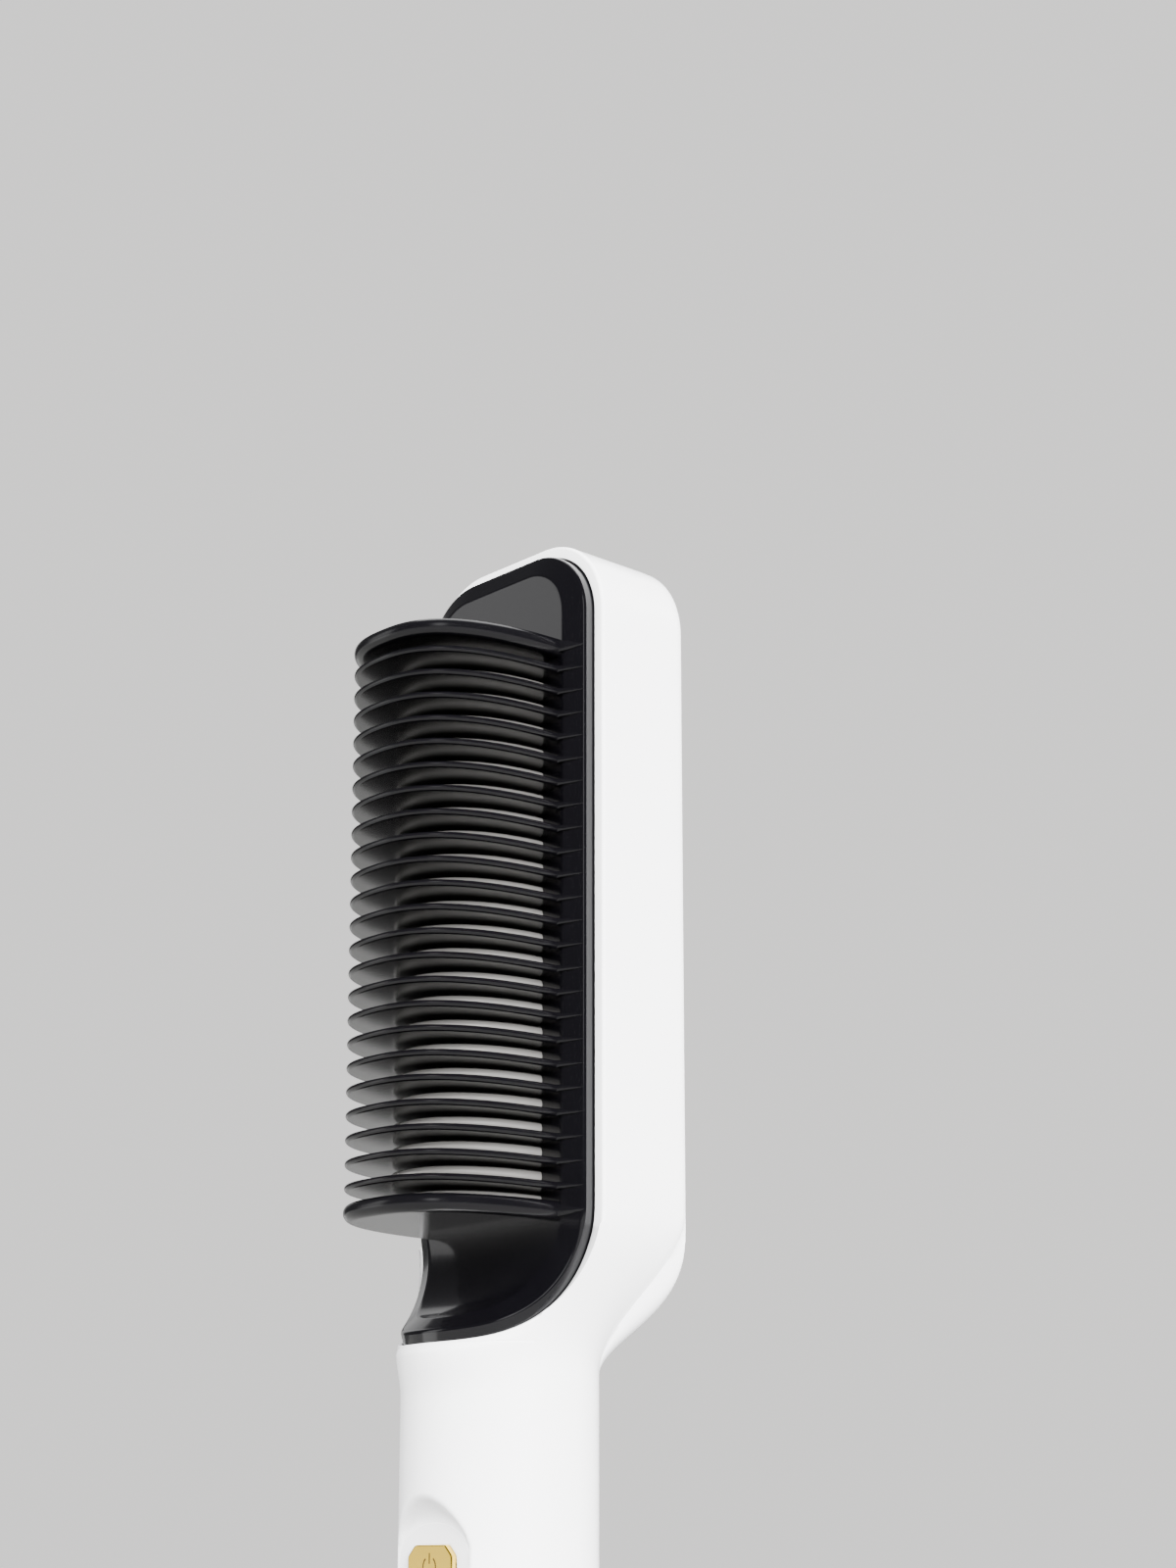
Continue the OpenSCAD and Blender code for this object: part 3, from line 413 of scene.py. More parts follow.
def shell_radius(way, z):
    """Radius of the skin: 0 is straight back, half a turn is straight to the front."""
    way = np.abs(way)
    handle_r = HANDLE_R + lip_flare(way, z)
    quarter = np.full_like(way, math.pi / 2)
    side = back_radius(quarter, z, HALF_W, BACK_REACH, handle_r)
    back = back_radius(np.minimum(way, quarter), z, HALF_W, BACK_REACH, handle_r)
    return np.where(way <= math.pi / 2, back, reach(way, side, handle_r, 2))

def shell_point(way, z):
    way, z = np.broadcast_arrays(np.asarray(way, float), np.asarray(z, float))
    radius = shell_radius(way, z)
    return np.stack([radius * np.sin(way), AXIS_Y + radius * np.cos(way), z], -1)

def direction_at(y, z):
    """Direction in which the skin at height z lies at depth y, found by halving."""
    low, high = 0.0, math.pi
    for _ in range(50):
        half = (low + high) / 2
        low, high = (half, high) if shell_point(half, z)[1] > y else (low, half)
    return low

print("head radius at its side:", round(float(shell_radius(np.array(math.pi / 2), np.array(200.0))), 2))

# %% [markdown]
# The opening for the black moulding is flat at the head, then follows the ramp, which is part of a
# cylinder. A place on it is easiest to give by its width and by its length along that path.

# %% The opening: a flat rim that rolls down a ramp to the handle's front
OPEN_R = RAMP_R + PROUD

def open_place(s):
    """Depth, height and inward depth direction of the opening at the length s along it."""
    if s >= RAMP_Z:
        return RIM_Y, s, (1.0, 0.0)
    turn_down = (RAMP_Z - s) / OPEN_R
    return (PLATE_Y - RAMP_R + OPEN_R * math.cos(turn_down), RAMP_Z - OPEN_R * math.sin(turn_down),
            (math.cos(turn_down), -math.sin(turn_down)))

def length_at(z):
    return z if z >= RAMP_Z else RAMP_Z - OPEN_R * math.asin(min(1, (RAMP_Z - z) / OPEN_R))

def tip_height(front_y):
    return RAMP_Z - OPEN_R * math.sin(math.acos((front_y - PLATE_Y + RAMP_R) / OPEN_R))

plain_tip = tip_height(AXIS_Y - HANDLE_R)
lip_spots = [(direction_at(open_place(length_at(z))[0], z), z)
             for z in plain_tip + (RAMP_Z - plain_tip) * np.linspace(0, 1, 60) ** 1.8]
lip_spots[0] = (math.pi, plain_tip)
lip_turns, lip_heights = (np.array(side) for side in zip(*sorted(lip_spots)))
open_tip_z = tip_height(float(shell_point(math.pi, plain_tip)[1]))
print("the opening's tip is at", round(open_tip_z, 2), "mm")

# %% [markdown]
# Rows and columns are spent where the surface turns. The rows stand close at the recess and at the lip
# of the opening, and the columns crowd round the back corner, which lies about 46 degrees off the back.

# %% Rows and columns of the sheet
tail_rows = [(TAIL_Z + 0.04, 0.32), (TAIL_Z + 0.12, 0.12), (TAIL_Z + 0.3, 0.02), (TAIL_Z + 0.6, 0.0)]
low_rows = ([z for z, inset in tail_rows] + list(np.linspace(8, 28, 6)) + list(np.linspace(28.6, 115.6, 146))
            + list(np.linspace(116.5, open_tip_z - 9.5, 15))
            + list(np.linspace(open_tip_z - 9, open_tip_z - 0.3, 30)))
tip_rows = [open_tip_z + (RAMP_Z - open_tip_z) * (i / 44) ** 1.8 for i in range(45)]
high_rows = (list(np.linspace(RAMP_Z + 2, TOP - CORNER_R - 2, 20))
             + [TOP - CORNER_R * (1 - math.sin(math.radians(t))) for t in range(0, 89, 4)] + [TOP])
cap_steps = [0.2, 0.4, 0.6, 0.8, 1.0]
row_z = np.array(low_rows + tip_rows + high_rows)
tip_row = len(low_rows)
BACK_COLUMNS, FRONT_COLUMNS, BACK_END = 40, 54, 80.0        # the back's columns end 80 degrees round
density = 1 + 7 * np.exp(-((np.linspace(0, BACK_END, 400) - 46) / 5) ** 2)
crowd = np.concatenate([[0], np.cumsum(density)])
back_turns = np.interp(np.linspace(0, crowd[-1], BACK_COLUMNS + 1), crowd, np.linspace(0, BACK_END, 401))

def row_turns(z, end):
    """Directions of a row's corners. The crowded ones follow the back corner where the top narrows."""
    width = HALF_W - top_narrow(z, CORNER_R)
    depth = BACK_REACH - top_narrow(z, BACK_EDGE_R)
    corner, usual = math.degrees(math.atan(width / depth)), math.degrees(math.atan(HALF_W / BACK_REACH))
    last = min(BACK_END, math.degrees(end) - 2.5)
    back = np.interp(back_turns, [0, usual, BACK_END], [0, corner, last])
    front = np.linspace(last, math.degrees(end), FRONT_COLUMNS + 1)[1:]
    return np.radians(np.concatenate([back, front]))

print(len(row_z) + len(cap_steps), "rows,", 2 * (BACK_COLUMNS + FRONT_COLUMNS) + 1, "columns of skin")

# %% [markdown]
# The opening has a white rim round it, seen as a thin bright frame beside the black plate. Its edge isn't
# sharp: the skin rolls over onto the rim in a small curve, wider at the head than at the opening's tip.
# A bevel would need an edge to work on, and the wrapped sheet has none, so the roll is drawn into it.

# %% The edge of the opening, and the way inwards from it
TIP_RIM_W = 0.85                        # the rim is narrower at the opening's tip

def edge_loop():
    """Corner points of the opening, as width and length along it, from the tip to the top's middle."""
    places = []
    for z in row_z[tip_row:]:
        y = open_place(length_at(z))[0]
        turn_at = direction_at(y, z)
        places.append((shell_point(turn_at, z)[0], length_at(z)))
    places[0] = (0.0, places[0][1])
    last = places[-1]
    return places + [(last[0] * (1 - k), last[1]) for k in cap_steps]

edge = np.array(edge_loop())
ahead = np.vstack([edge[1:], [[-edge[-2][0], edge[-2][1]]]])
behind = np.vstack([[[-edge[1][0], edge[1][1]]], edge[:-1]])
along = ahead - behind
along /= np.linalg.norm(along, axis=1)[:, None]
inward = np.stack([-along[:, 1], along[:, 0]], 1)
grown = np.array([smooth((z - open_tip_z) / 17) for z in row_z[tip_row:]] + [1.0] * len(cap_steps))
rim_widths = TIP_RIM_W + (RIM_W - TIP_RIM_W) * grown
rolls = 0.25 + 0.30 * grown
print("half width of the opening, widest:", round(edge[:, 0].max(), 2))

# %% The roll over the edge
SKIRT, LIP_GAP, LIP_ROUND = 2.5, 0.20, 0.1      # wall inside the rim, its gap to the plate, its rounding
ROUND_WEIGHT = 0.7                              # weight that turns a curve of three points into a round one

def on_opening(place, way, distance, deeper=0.0):
    x, s = place + way * distance
    y, z, deep = open_place(s)
    return np.array([x, y + deep[0] * deeper, z + deep[1] * deeper])

def skin_away(k, corner, z):
    """Direction along the skin, square to the opening's edge and away from it."""
    if k == 0:
        return np.array([0.0, 0.0, -1.0])
    if z >= RAMP_Z:
        return np.array([0.0, 1.0, 0.0])
    turn_at = math.atan2(corner[0], corner[1] - AXIS_Y)
    side = shell_point(turn_at + 1e-4, z) - shell_point(turn_at - 1e-4, z)
    rise = shell_point(turn_at, z + 1e-3) - shell_point(turn_at, z - 1e-3)
    run = on_opening(edge[k + 1], inward[k], 0) - on_opening(edge[k - 1], inward[k], 0)
    away = np.cross(np.cross(side, rise), run)
    away /= np.linalg.norm(away)
    return away if np.dot(away, on_opening(edge[k], inward[k], 1.0) - corner) < 0 else -away

def rolled_edge(k):
    """Points that roll from the skin over the edge onto the rim, then into the opening."""
    corner, roll = on_opening(edge[k], inward[k], 0), rolls[k]
    z = row_z[tip_row + k]
    start = corner + skin_away(k, corner, z) * roll
    start = shell_point(math.atan2(start[0], start[1] - AXIS_Y) if k else math.pi, min(start[2], TOP))
    end = on_opening(edge[k], inward[k], roll)
    curve = []
    for t in (0.2, 0.4, 0.6, 0.8, 1.0):
        a, b, c = (1 - t) ** 2, 2 * ROUND_WEIGHT * t * (1 - t), t * t
        curve.append((a * start + b * corner + c * end) / (a + b + c))
    width = rim_widths[k] - LIP_GAP
    rim = on_opening(edge[k], inward[k], width - LIP_ROUND, 0)
    lip = on_opening(edge[k], inward[k], width, LIP_ROUND)
    skirt = on_opening(edge[k], inward[k], width, SKIRT)
    return start, curve + [rim, lip, skirt]

EXTRA = len(rolled_edge(0)[1])
print("columns that roll over the edge:", EXTRA)

# %% [markdown]
# The control recess is pressed into the handle's front. Its floor is flat, its arched top is scooped,
# and its long sides run out into the round handle. A boolean cut would leave sharp edges there, so the
# recess is a rule on depth: a corner of the sheet that stands in front of the recess's floor is pushed
# back to it, with a soft change between the two.

# %% The recess for the controls
RECESS_W, RECESS_TOP, RECESS_LOW, FLOOR_DROP = 9.35, 113.0, 30.0, 0.05
SCOOP, SIDE_FOOT, ARCH_WIDER = 3.25, 0.93, 0.37     # depth of the scoop, its foot, its growth at the top
LOW_LEDGE, LEDGE_RISE, SOFT = 2.0, 3.3, 0.22        # the ramp at the lower end, and the soft change
arch_z = RECESS_TOP - RECESS_W

def recess_floor(x, z):
    """Depth of the recess: flat inside, scooped towards its arch, ramped at its lower end."""
    above = np.maximum(z - arch_z, 0)
    spread = np.hypot(x, above) / RECESS_W
    lean = np.arctan2(above, np.abs(x) + 1e-9)
    foot = SIDE_FOOT - ARCH_WIDER * np.sin(lean) ** 2
    scoop = np.maximum(spread - foot, 0) / (1 - foot)
    low = np.maximum(RECESS_LOW + LOW_LEDGE - z, 0) / LOW_LEDGE
    return PANEL_Y + FLOOR_DROP - SCOOP * scoop ** 1.7 - LEDGE_RISE * low ** 1.6

def press_recess(points):
    x, y, z = points[..., 0], points[..., 1], points[..., 2]
    gap = recess_floor(x, z) - y
    blend = limit(0.5 + gap / (2 * SOFT))
    pressed = y + gap * blend + SOFT * blend * (1 - blend)
    inside = (y < AXIS_Y) & (z > RECESS_LOW - 1) & (z < RECESS_TOP + 1) & (np.abs(x) < RECESS_W + 1)
    points[..., 1] = np.where(inside & (gap > -SOFT), pressed, y)
    return points

print("the recess is", round(float(PANEL_Y + FLOOR_DROP - AXIS_Y + HANDLE_R), 2), "mm deep in the middle")

# %% The corners of the sheet, row by row
def half_row(i):
    """The right half of a row, from the middle of the back to the inside of the rim."""
    share = np.concatenate([np.zeros(BACK_COLUMNS + 1), np.linspace(0, 1, FRONT_COLUMNS + 1)[1:]])
    if i < tip_row:
        z = row_z[i]
        turns = row_turns(z, math.pi)
        shift = 0.3 * smooth((z - (open_tip_z - 8)) / 8)
        lowered = z - shift * share ** 2
        points = shell_point(turns, lowered)
        if i < len(tail_rows):
            scale = (HANDLE_R - tail_rows[i][1]) / HANDLE_R
            points[:, 0] *= scale
            points[:, 1] = AXIS_Y + (points[:, 1] - AXIS_Y) * scale
        return np.vstack([press_recess(points), np.repeat(points[-1:], EXTRA, 0)])
    k = i - tip_row
    if i < len(row_z):
        start, rolled = rolled_edge(k)
        end = math.pi if k == 0 else math.atan2(start[0], start[1] - AXIS_Y)
        turns = row_turns(row_z[i], end)
        heights = row_z[i] + (start[2] - row_z[i]) * share ** 2
        points = shell_point(turns, heights)
        points[-1] = start
        return np.vstack([points, rolled])
    shrink = 1 - cap_steps[i - len(row_z)]
    points = half_row(len(row_z) - 1)
    points[:, 0] *= shrink
    last = BACK_COLUMNS + FRONT_COLUMNS
    front_y, skin = points[last, 1], points[:last + 1]
    skin[:, 1] = front_y + (skin[:, 1] - front_y) * (0.75 + 0.25 * shrink)
    return points

half_rows = np.array([half_row(i) for i in range(len(row_z) + len(cap_steps))])
sheet = np.concatenate([half_rows[:, :0:-1] * [-1, 1, 1], half_rows], 1)
print("the sheet has", sheet.shape[0], "x", sheet.shape[1], "corners")

# %% Wrap a grid
def corners_of(piece):
    spots = np.empty(len(piece.data.vertices) * 3)
    piece.data.vertices.foreach_get("co", spots)
    return spots.reshape(-1, 3)

def put_corners(piece, spots):
    piece.data.vertices.foreach_set("co", (spots * MM).ravel())
    piece.data.update()

bpy.ops.object.select_all(action="DESELECT")
bpy.ops.mesh.primitive_grid_add(x_subdivisions=sheet.shape[1] - 1, y_subdivisions=sheet.shape[0] - 1, size=1)
shell = bpy.context.object
shell.name = shell.data.name = "white_shell"
flat = corners_of(shell)
column = np.rint((flat[:, 0] + 0.5) * (sheet.shape[1] - 1)).astype(int)
row = np.rint((flat[:, 1] + 0.5) * (sheet.shape[0] - 1)).astype(int)
put_corners(shell, sheet[row, column])
print("faces in the sheet:", len(shell.data.polygons))

# %% [markdown]
# A sheet has four borders, and the wrapped skin has none where its sides meet. Below the opening the
# folded columns at both sides are taken away, and the doubled corners are merged, which sews the seam.
# Every hole is filled for now, because a boolean cut works best on a closed shape.

# %% Sew the sheet's seams, and close it for the next cut
def edit_faces(piece):
    """Edit a piece by its faces, none of them selected yet."""
    bpy.ops.object.mode_set(mode="EDIT")
    bpy.ops.mesh.select_mode(type="FACE")
    bpy.ops.mesh.select_all(action="DESELECT")
    return bmesh.from_edit_mesh(piece.data)

mesh = edit_faces(shell)
last_column = sheet.shape[1] - 1
for face in mesh.faces:
    ids = [v.index for v in face.verts]
    low, side = row[ids].min(), [column[i] for i in ids]
    face.select = bool(low < tip_row and (max(side) <= EXTRA or min(side) >= last_column - EXTRA))
bmesh.update_edit_mesh(shell.data)
bpy.ops.mesh.delete(type="FACE")
bpy.ops.mesh.select_mode(type="VERT")
bpy.ops.mesh.select_all(action="SELECT")
bpy.ops.mesh.remove_doubles(threshold=2e-6)
bpy.ops.mesh.select_all(action="DESELECT")
bpy.ops.mesh.select_non_manifold(extend=False, use_wire=False, use_multi_face=False,
                                 use_non_contiguous=False, use_verts=False)
bpy.ops.mesh.fill(use_beauty=False)
bpy.ops.mesh.select_all(action="SELECT")
bpy.ops.mesh.normals_make_consistent(inside=False)
bpy.ops.mesh.select_all(action="DESELECT")
bpy.ops.mesh.select_non_manifold()
odd = sum(vert.select for vert in bmesh.from_edit_mesh(shell.data).verts)
print("open or odd corners left:", odd)
bpy.ops.object.mode_set(mode="OBJECT")

# %% [markdown]
# The gold frame and the back panel lie in a pocket. Its edge is crisp on the real moulding, and the back
# is almost flat there, so this one is a boolean cut with a rounded block.

# %% Outlines with round corners
def rounded(w, z0, z1, r, steps):
    """Outline of a box with four round corners, as (x, z)."""
    points = []
    for cx, cz, first in ((w / 2 - r, z1 - r, 0), (-w / 2 + r, z1 - r, 90),
                          (-w / 2 + r, z0 + r, 180), (w / 2 - r, z0 + r, 270)):
        for i in range(steps + 1):
            t = math.radians(first + 90 * i / steps)
            points.append((cx + r * math.cos(t), cz + r * math.sin(t)))
    return points

def at_depth(outline, y):
    return [(x, y, z) for x, z in outline]

def head_loop(inset, y, steps=22):
    """The head's outline as seen from the back, drawn in by an inset."""
    return at_depth(rounded(2 * (HALF_W - inset), HEAD_Z + inset, TOP - inset, CORNER_R - inset, steps), y)

print("corners in the head's outline:", len(head_loop(0, BACK_Y)))

# %% Cut the pocket in the back
def cut_away(piece, cutter):
    pick(piece)
    bpy.ops.object.modifier_add(type="BOOLEAN")
    piece.modifiers[-1].object = cutter
    piece.modifiers[-1].operation = "DIFFERENCE"
    piece.modifiers[-1].solver = "EXACT"
    bpy.ops.object.modifier_apply(modifier=piece.modifiers[-1].name)
    bpy.data.objects.remove(cutter)
    print(f"faces in {piece.name} after the cut: {len(piece.data.polygons)}")

POCKET_IN, POCKET = 1.6, 1.9                    # white edge that stays round the pocket, and its depth
pocket = [head_loop(POCKET_IN, y, 20) for y in (BACK_Y - POCKET, BACK_Y + 3)]
cut_away(shell, moulding("pocket_cutter", pocket))

# %% [markdown]
# The real shell is open where the black moulding goes in, at the tail and behind the control panel. The
# filled faces there are found by where they lie, and taken out.

# %% Open the shell again where the real one is open
def under_rim(spot):
    """How deep a corner lies under the rim of the opening."""
    if spot.z < RAMP_Z:
        return math.hypot(spot.y - PLATE_Y + RAMP_R, spot.z - RAMP_Z) - OPEN_R
    return spot.y - RIM_Y

mesh = edit_faces(shell)
for face in mesh.faces:
    spots = [v.co / MM for v in face.verts]
    middle_at = face.calc_center_median() / MM
    under_tail = all(p.z < TAIL_Z + 0.05 for p in spots)
    on_skirt = all(abs(under_rim(p) - SKIRT) < 0.06 for p in spots)
    behind_cover = (on_skirt and middle_at.y < RIM_Y + SKIRT + 0.05 and abs(middle_at.x) < HALF_W - 2.5
                    and middle_at.z > open_tip_z - 5 and abs(face.normal.x) < 0.5)
    under_panel = (abs(middle_at.x) < 7.6 and RECESS_LOW + 3 < middle_at.z < arch_z - 1
                   and abs(middle_at.y - PANEL_Y - FLOOR_DROP) < 0.02)
    face.select = bool(under_tail or behind_cover or under_panel)
gone = sum(f.select for f in mesh.faces)
bmesh.update_edit_mesh(shell.data)
bpy.ops.mesh.delete(type="FACE")
bpy.ops.object.mode_set(mode="OBJECT")
bpy.ops.object.shade_smooth_by_angle(angle=math.radians(32), keep_sharp_edges=True)
print("faces taken out:", gone)
dress(shell, white_gloss, "housing", "white_shell", "main_housing")

# %% [markdown]
# ## The comb plate
# The black moulding's plate fills the opening: a wall stands 2 mm out of the white rim, a border slopes
# up from it, and a flat panel lies inside. It is drawn flat first, as if the ramp were unrolled, because
# rings are easy to offset there. Then every corner below the ramp's start is rolled round the ramp, as
# a sheet of warm plastic would be bent over a form.

# %% Border and panel, drawn flat
def round_the_edge(distance, height):
    """Closed outline at a distance inside the plate's wall, as flat (x, depth, length)."""
    right = [(*(edge[k] + inward[k] * (rim_widths[k] + distance)), height) for k in range(len(edge))]
    left = [(-x, s, h) for x, s, h in right[-2:0:-1]]
    return [(x, RIM_Y - h, s) for x, s, h in right + left]

PANEL_RISE, BORDER = 1.5, 3.9
plate_profile = [(0.08, -2.0), (0.06, 1.55), (0.10, 1.78), (0.20, 1.97), (0.36, 2.12), (0.58, 2.22),
                 (0.85, 2.32), (BORDER - 0.42, PROUD + 1.36), (BORDER - 0.2, PROUD + 1.43),
                 (BORDER, PROUD + 1.475), (BORDER + 0.25, PROUD + 1.493), (BORDER + 0.5, PROUD + PANEL_RISE)]
plate = start_ring("comb_plate", round_the_edge(*plate_profile[0]))
for distance, height in plate_profile[1:]:
    next_ring(plate, round_the_edge(distance, height))
bpy.ops.mesh.select_all(action="SELECT")
bpy.ops.mesh.fill_holes(sides=0)
print("border rings:", len(plate_profile), "corners in each:", 2 * (len(edge) - 1))

# %% Split the flat panel and the underside across, so that they can bend
def widest_face(mesh, y):
    level = [f for f in mesh.faces if abs(f.calc_center_median().y / MM - y) < 0.01]
    return max(level, key=lambda f: len(f.verts))

bpy.ops.mesh.select_mode(type="VERT")
for height in (PROUD + PANEL_RISE, plate_profile[0][1]):
    for k in range(1, len(edge) - 1):
        mesh = bmesh.from_edit_mesh(plate.data)
        corner = mesh.verts.layers.int["corner"]
        pair = (k, 2 * (len(edge) - 1) - k)
        bpy.ops.mesh.select_all(action="DESELECT")
        for vert in widest_face(mesh, RIM_Y - height).verts:
            vert.select = vert[corner] in pair
        mesh.select_flush_mode()
        bmesh.update_edit_mesh(plate.data)
        bpy.ops.mesh.vert_connect()
bpy.ops.object.mode_set(mode="OBJECT")
print("faces in the plate:", len(plate.data.polygons))

# %% Roll the lower end round the ramp
def roll_round_ramp(piece):
    spots = corners_of(piece) / MM
    turned = np.maximum(RAMP_Z - spots[:, 2], 0) / OPEN_R
    radius = OPEN_R - (RIM_Y - spots[:, 1])
    on_ramp = spots[:, 2] < RAMP_Z
    spots[:, 1] = np.where(on_ramp, PLATE_Y - RAMP_R + radius * np.cos(turned), spots[:, 1])
    spots[:, 2] = np.where(on_ramp, RAMP_Z - radius * np.sin(turned), spots[:, 2])
    put_corners(piece, spots)

roll_round_ramp(plate)
bpy.ops.object.mode_set(mode="EDIT")
clean_and_leave(plate, 30)
dress(plate, black_gloss, "housing", "black_plastic", "comb_cover")

# %% [markdown]
# ## Fins and guards
# A fin is a thin tongue with rounded edges that gets thinner towards its tip, so that it leaves the
# mould. Its outline is a superellipse, between an oval and a box. At each foot a small tapered tail lies
# on the border's slope. One fin is modelled and then copied, and the two guards at the ends are the same
# tongue, only thicker and rounder.

# %% The outline of a tongue, and its inset
FOOT_Y = PLATE_Y + 0.4                          # a tongue's feet go into the plate
FIN_W, FIN_RISE, FIN_POWER = 17.0, 27.6, 2.6    # half width, height over the plate, squareness
FIN_HALF, GUARD_HALF = 0.65, 1.7                # half the thickness

def tongue(half_w, rise, power, inset, steps=88):
    """Half a superellipse that stands on the plate, drawn in square to itself, with two feet."""
    points = []
    for i in range(steps + 1):
        t = math.pi * i / steps
        c, s = math.cos(t), math.sin(t)
        x = half_w * math.copysign(abs(c) ** (2 / power), c)
        y = PLATE_Y - rise * abs(s) ** (2 / power)
        nx = math.copysign((abs(x) / half_w) ** (power - 1) / half_w, x)
        ny = -((PLATE_Y - y) / rise) ** (power - 1) / rise
        size = math.hypot(nx, ny) or 1
        points.append((x - inset * nx / size, y - inset * ny / size))
    first, last = points[0], points[-1]
    return [(first[0], FOOT_Y)] + points + [(last[0], FOOT_Y)]

def tongue_rings(z, half_w, rise, power, profile, taper, steps=88):
    """One tongue at height z as outlines, thinner towards its tip by the share taper."""
    rings = []
    for inset, height in profile:
        ring = []
        for x, y in tongue(half_w, rise, power, inset, steps):
            thin = 1 - taper * limit((PLATE_Y - y) / rise)
            ring.append((x, y, z + height * thin))
        rings.append(ring)
    return rings

def edge_profile(half_t, r, steps):
    """Inset and height pairs that round both edges of a tongue with the radius r."""
    arc = [(r * (1 - math.sin(a)), half_t - r * (1 - math.cos(a)))
           for a in (math.pi / 2 * i / steps for i in range(steps + 1))]
    return [(i, -h) for i, h in arc] + [(i, h) for i, h in reversed(arc)]

print("corners in the outline of a fin:", len(tongue(FIN_W, FIN_RISE, FIN_POWER, 0)))

# %% The small tail at each foot
def slope_height(x):
    """Height of the border's slope over the white rim, at a distance x from the middle."""
    inside = HALF_W - RIM_W - 0.85 - abs(x)
    return PROUD + 0.12 + inside * (1.24 / (BORDER - 1.27))

def tail(name, side, z, half_t, lift):
    """A small ridge that runs out on the slope. Its half thickness and its lift shrink to the end."""
    rings = []
    for x, thick, up in ((16.6, 1.0, 1.0), (17.3, 0.94, 0.93), (18.4, 0.72, 0.72), (19.6, 0.44, 0.45),
                         (20.4, 0.22, 0.22), (20.75, 0.06, 0.06)):
        sunk, top = slope_height(min(x, 20.3)) - 0.7, slope_height(x) + lift * up
        half = half_t * thick
        section = [(-half, sunk), (-half, top - 0.22), (-0.62 * half, top - 0.05), (0, top),
                   (0.62 * half, top - 0.05), (half, top - 0.22), (half, sunk)]
        rings.append([(side * x, RIM_Y - height, z + off) for off, height in section])
    return moulding(name, rings, angle=50)

print("the slope rises from", round(slope_height(20.3), 2), "to", round(slope_height(16.6), 2), "mm")

# %% One fin with its two tails
fin_z = COMB_LOW + PITCH
rings = tongue_rings(fin_z, FIN_W, FIN_RISE, FIN_POWER, edge_profile(FIN_HALF, 0.64, 7), taper=0.18)
fin = moulding("comb_fin_01", rings, angle=45)
fin = join([fin, tail("tail_a", 1, fin_z, 0.6, 0.62), tail("tail_b", -1, fin_z, 0.6, 0.62)])
dress(fin, black_satin, "housing", "black_plastic", "comb_cover")

# %% Copy the fin up the comb
def copy_up(piece, name, rise):
    pick(piece)
    bpy.ops.object.duplicate(linked=False)
    copy = bpy.context.object
    copy.name = copy.data.name = name
    copy.location.z = rise * MM
    bpy.ops.object.transform_apply(location=True, rotation=False, scale=False)
    return copy

for i in range(1, FINS):
    dress(copy_up(fin, f"comb_fin_{i + 1:02d}", i * PITCH), black_satin, "housing", "black_plastic",
          "comb_cover")

# %% The two guards
def guard(name, z):
    profile = edge_profile(GUARD_HALF, 1.62, 10)
    rings = tongue_rings(z, FIN_W + 0.25, FIN_RISE, FIN_POWER, profile, taper=0.12, steps=120)
    body = moulding(name, rings, angle=45)
    return join([body, tail(name + "_a", 1, z, 1.0, 0.75), tail(name + "_b", -1, z, 1.0, 0.75)])

for name, z in (("guard_top", COMB_TOP), ("guard_low", COMB_LOW)):
    dress(guard(name, z), black_satin, "housing", "black_plastic", "comb_cover")

# %% [markdown]
# ## Heated blades
# The blades are cast with the heating plate. They are shorter than the fins, so that hair never touches
# a scalp with them, and their faces are crowned: thick in the middle, thin at the round front. That
# crown is what draws the long curved reflections between the fins.

# %% One blade, copied between all fins
def blade_profile():
    """Inset and height pairs, from the crowned middle of a blade to its thin edge."""
    pairs = [(3.4, 1.10), (1.9, 1.09), (1.0, 1.05), (0.6, 0.98), (0.34, 0.86), (0.18, 0.68), (0.08, 0.45),
             (0.02, 0.22), (0.0, 0.0)]
    return [(i, -h) for i, h in pairs] + [(i, h) for i, h in reversed(pairs[:-1])]

BLADE_W, BLADE_RISE, BLADE_POWER = 12.5, 20.0, 2.3
rings = tongue_rings(COMB_LOW + PITCH / 2, BLADE_W, BLADE_RISE, BLADE_POWER, blade_profile(),
                     taper=0.15, steps=72)
blade = moulding("heated_blade_01", rings, angle=60)
dress(blade, dark_metal, "housing", "blade_metal", "heated_blades")
for i in range(1, FINS + 1):
    dress(copy_up(blade, f"heated_blade_{i + 1:02d}", i * PITCH), dark_metal, "housing", "blade_metal",
          "heated_blades")

# %% [markdown]
# ## Gold frame and back panel
# The frame is a thin plated moulding. It has a bright narrow lip outside and a wide slope that runs down
# to the white panel, so it catches light from two directions. The panel is a flat glossy plate with a
# softened edge, and a thin dark gap goes round it.

# %% The frame as a ring that closes on itself
FRAME_EDGE, PANEL_EDGE = 1.85, 6.02     # how far inside the head's outline the frame and the panel start
FRAME_Y = box_mm("gold_frame")[1].y     # the frame's highest line
# each pair is an inset from the frame's outer edge, and a depth under its highest line
frame_profile = ((0.0, 1.80), (0.0, 0.30), (0.06, 0.15), (0.18, 0.05), (0.34, 0.0), (0.62, 0.0), (0.74, 0.02),
                 (0.84, 0.06), (3.86, 0.87), (3.98, 0.93), (4.05, 1.05), (4.05, 1.80), (0.0, 1.80))
rings = [head_loop(FRAME_EDGE + inset, FRAME_Y - depth) for inset, depth in frame_profile]
gold = start_ring("gold_frame_ring", rings[0])
for ring in rings[1:]:
    next_ring(gold, ring)
clean_and_leave(gold, 28)
dress(gold, pale_gold, "housing", "gold_trim", "gold_frame")

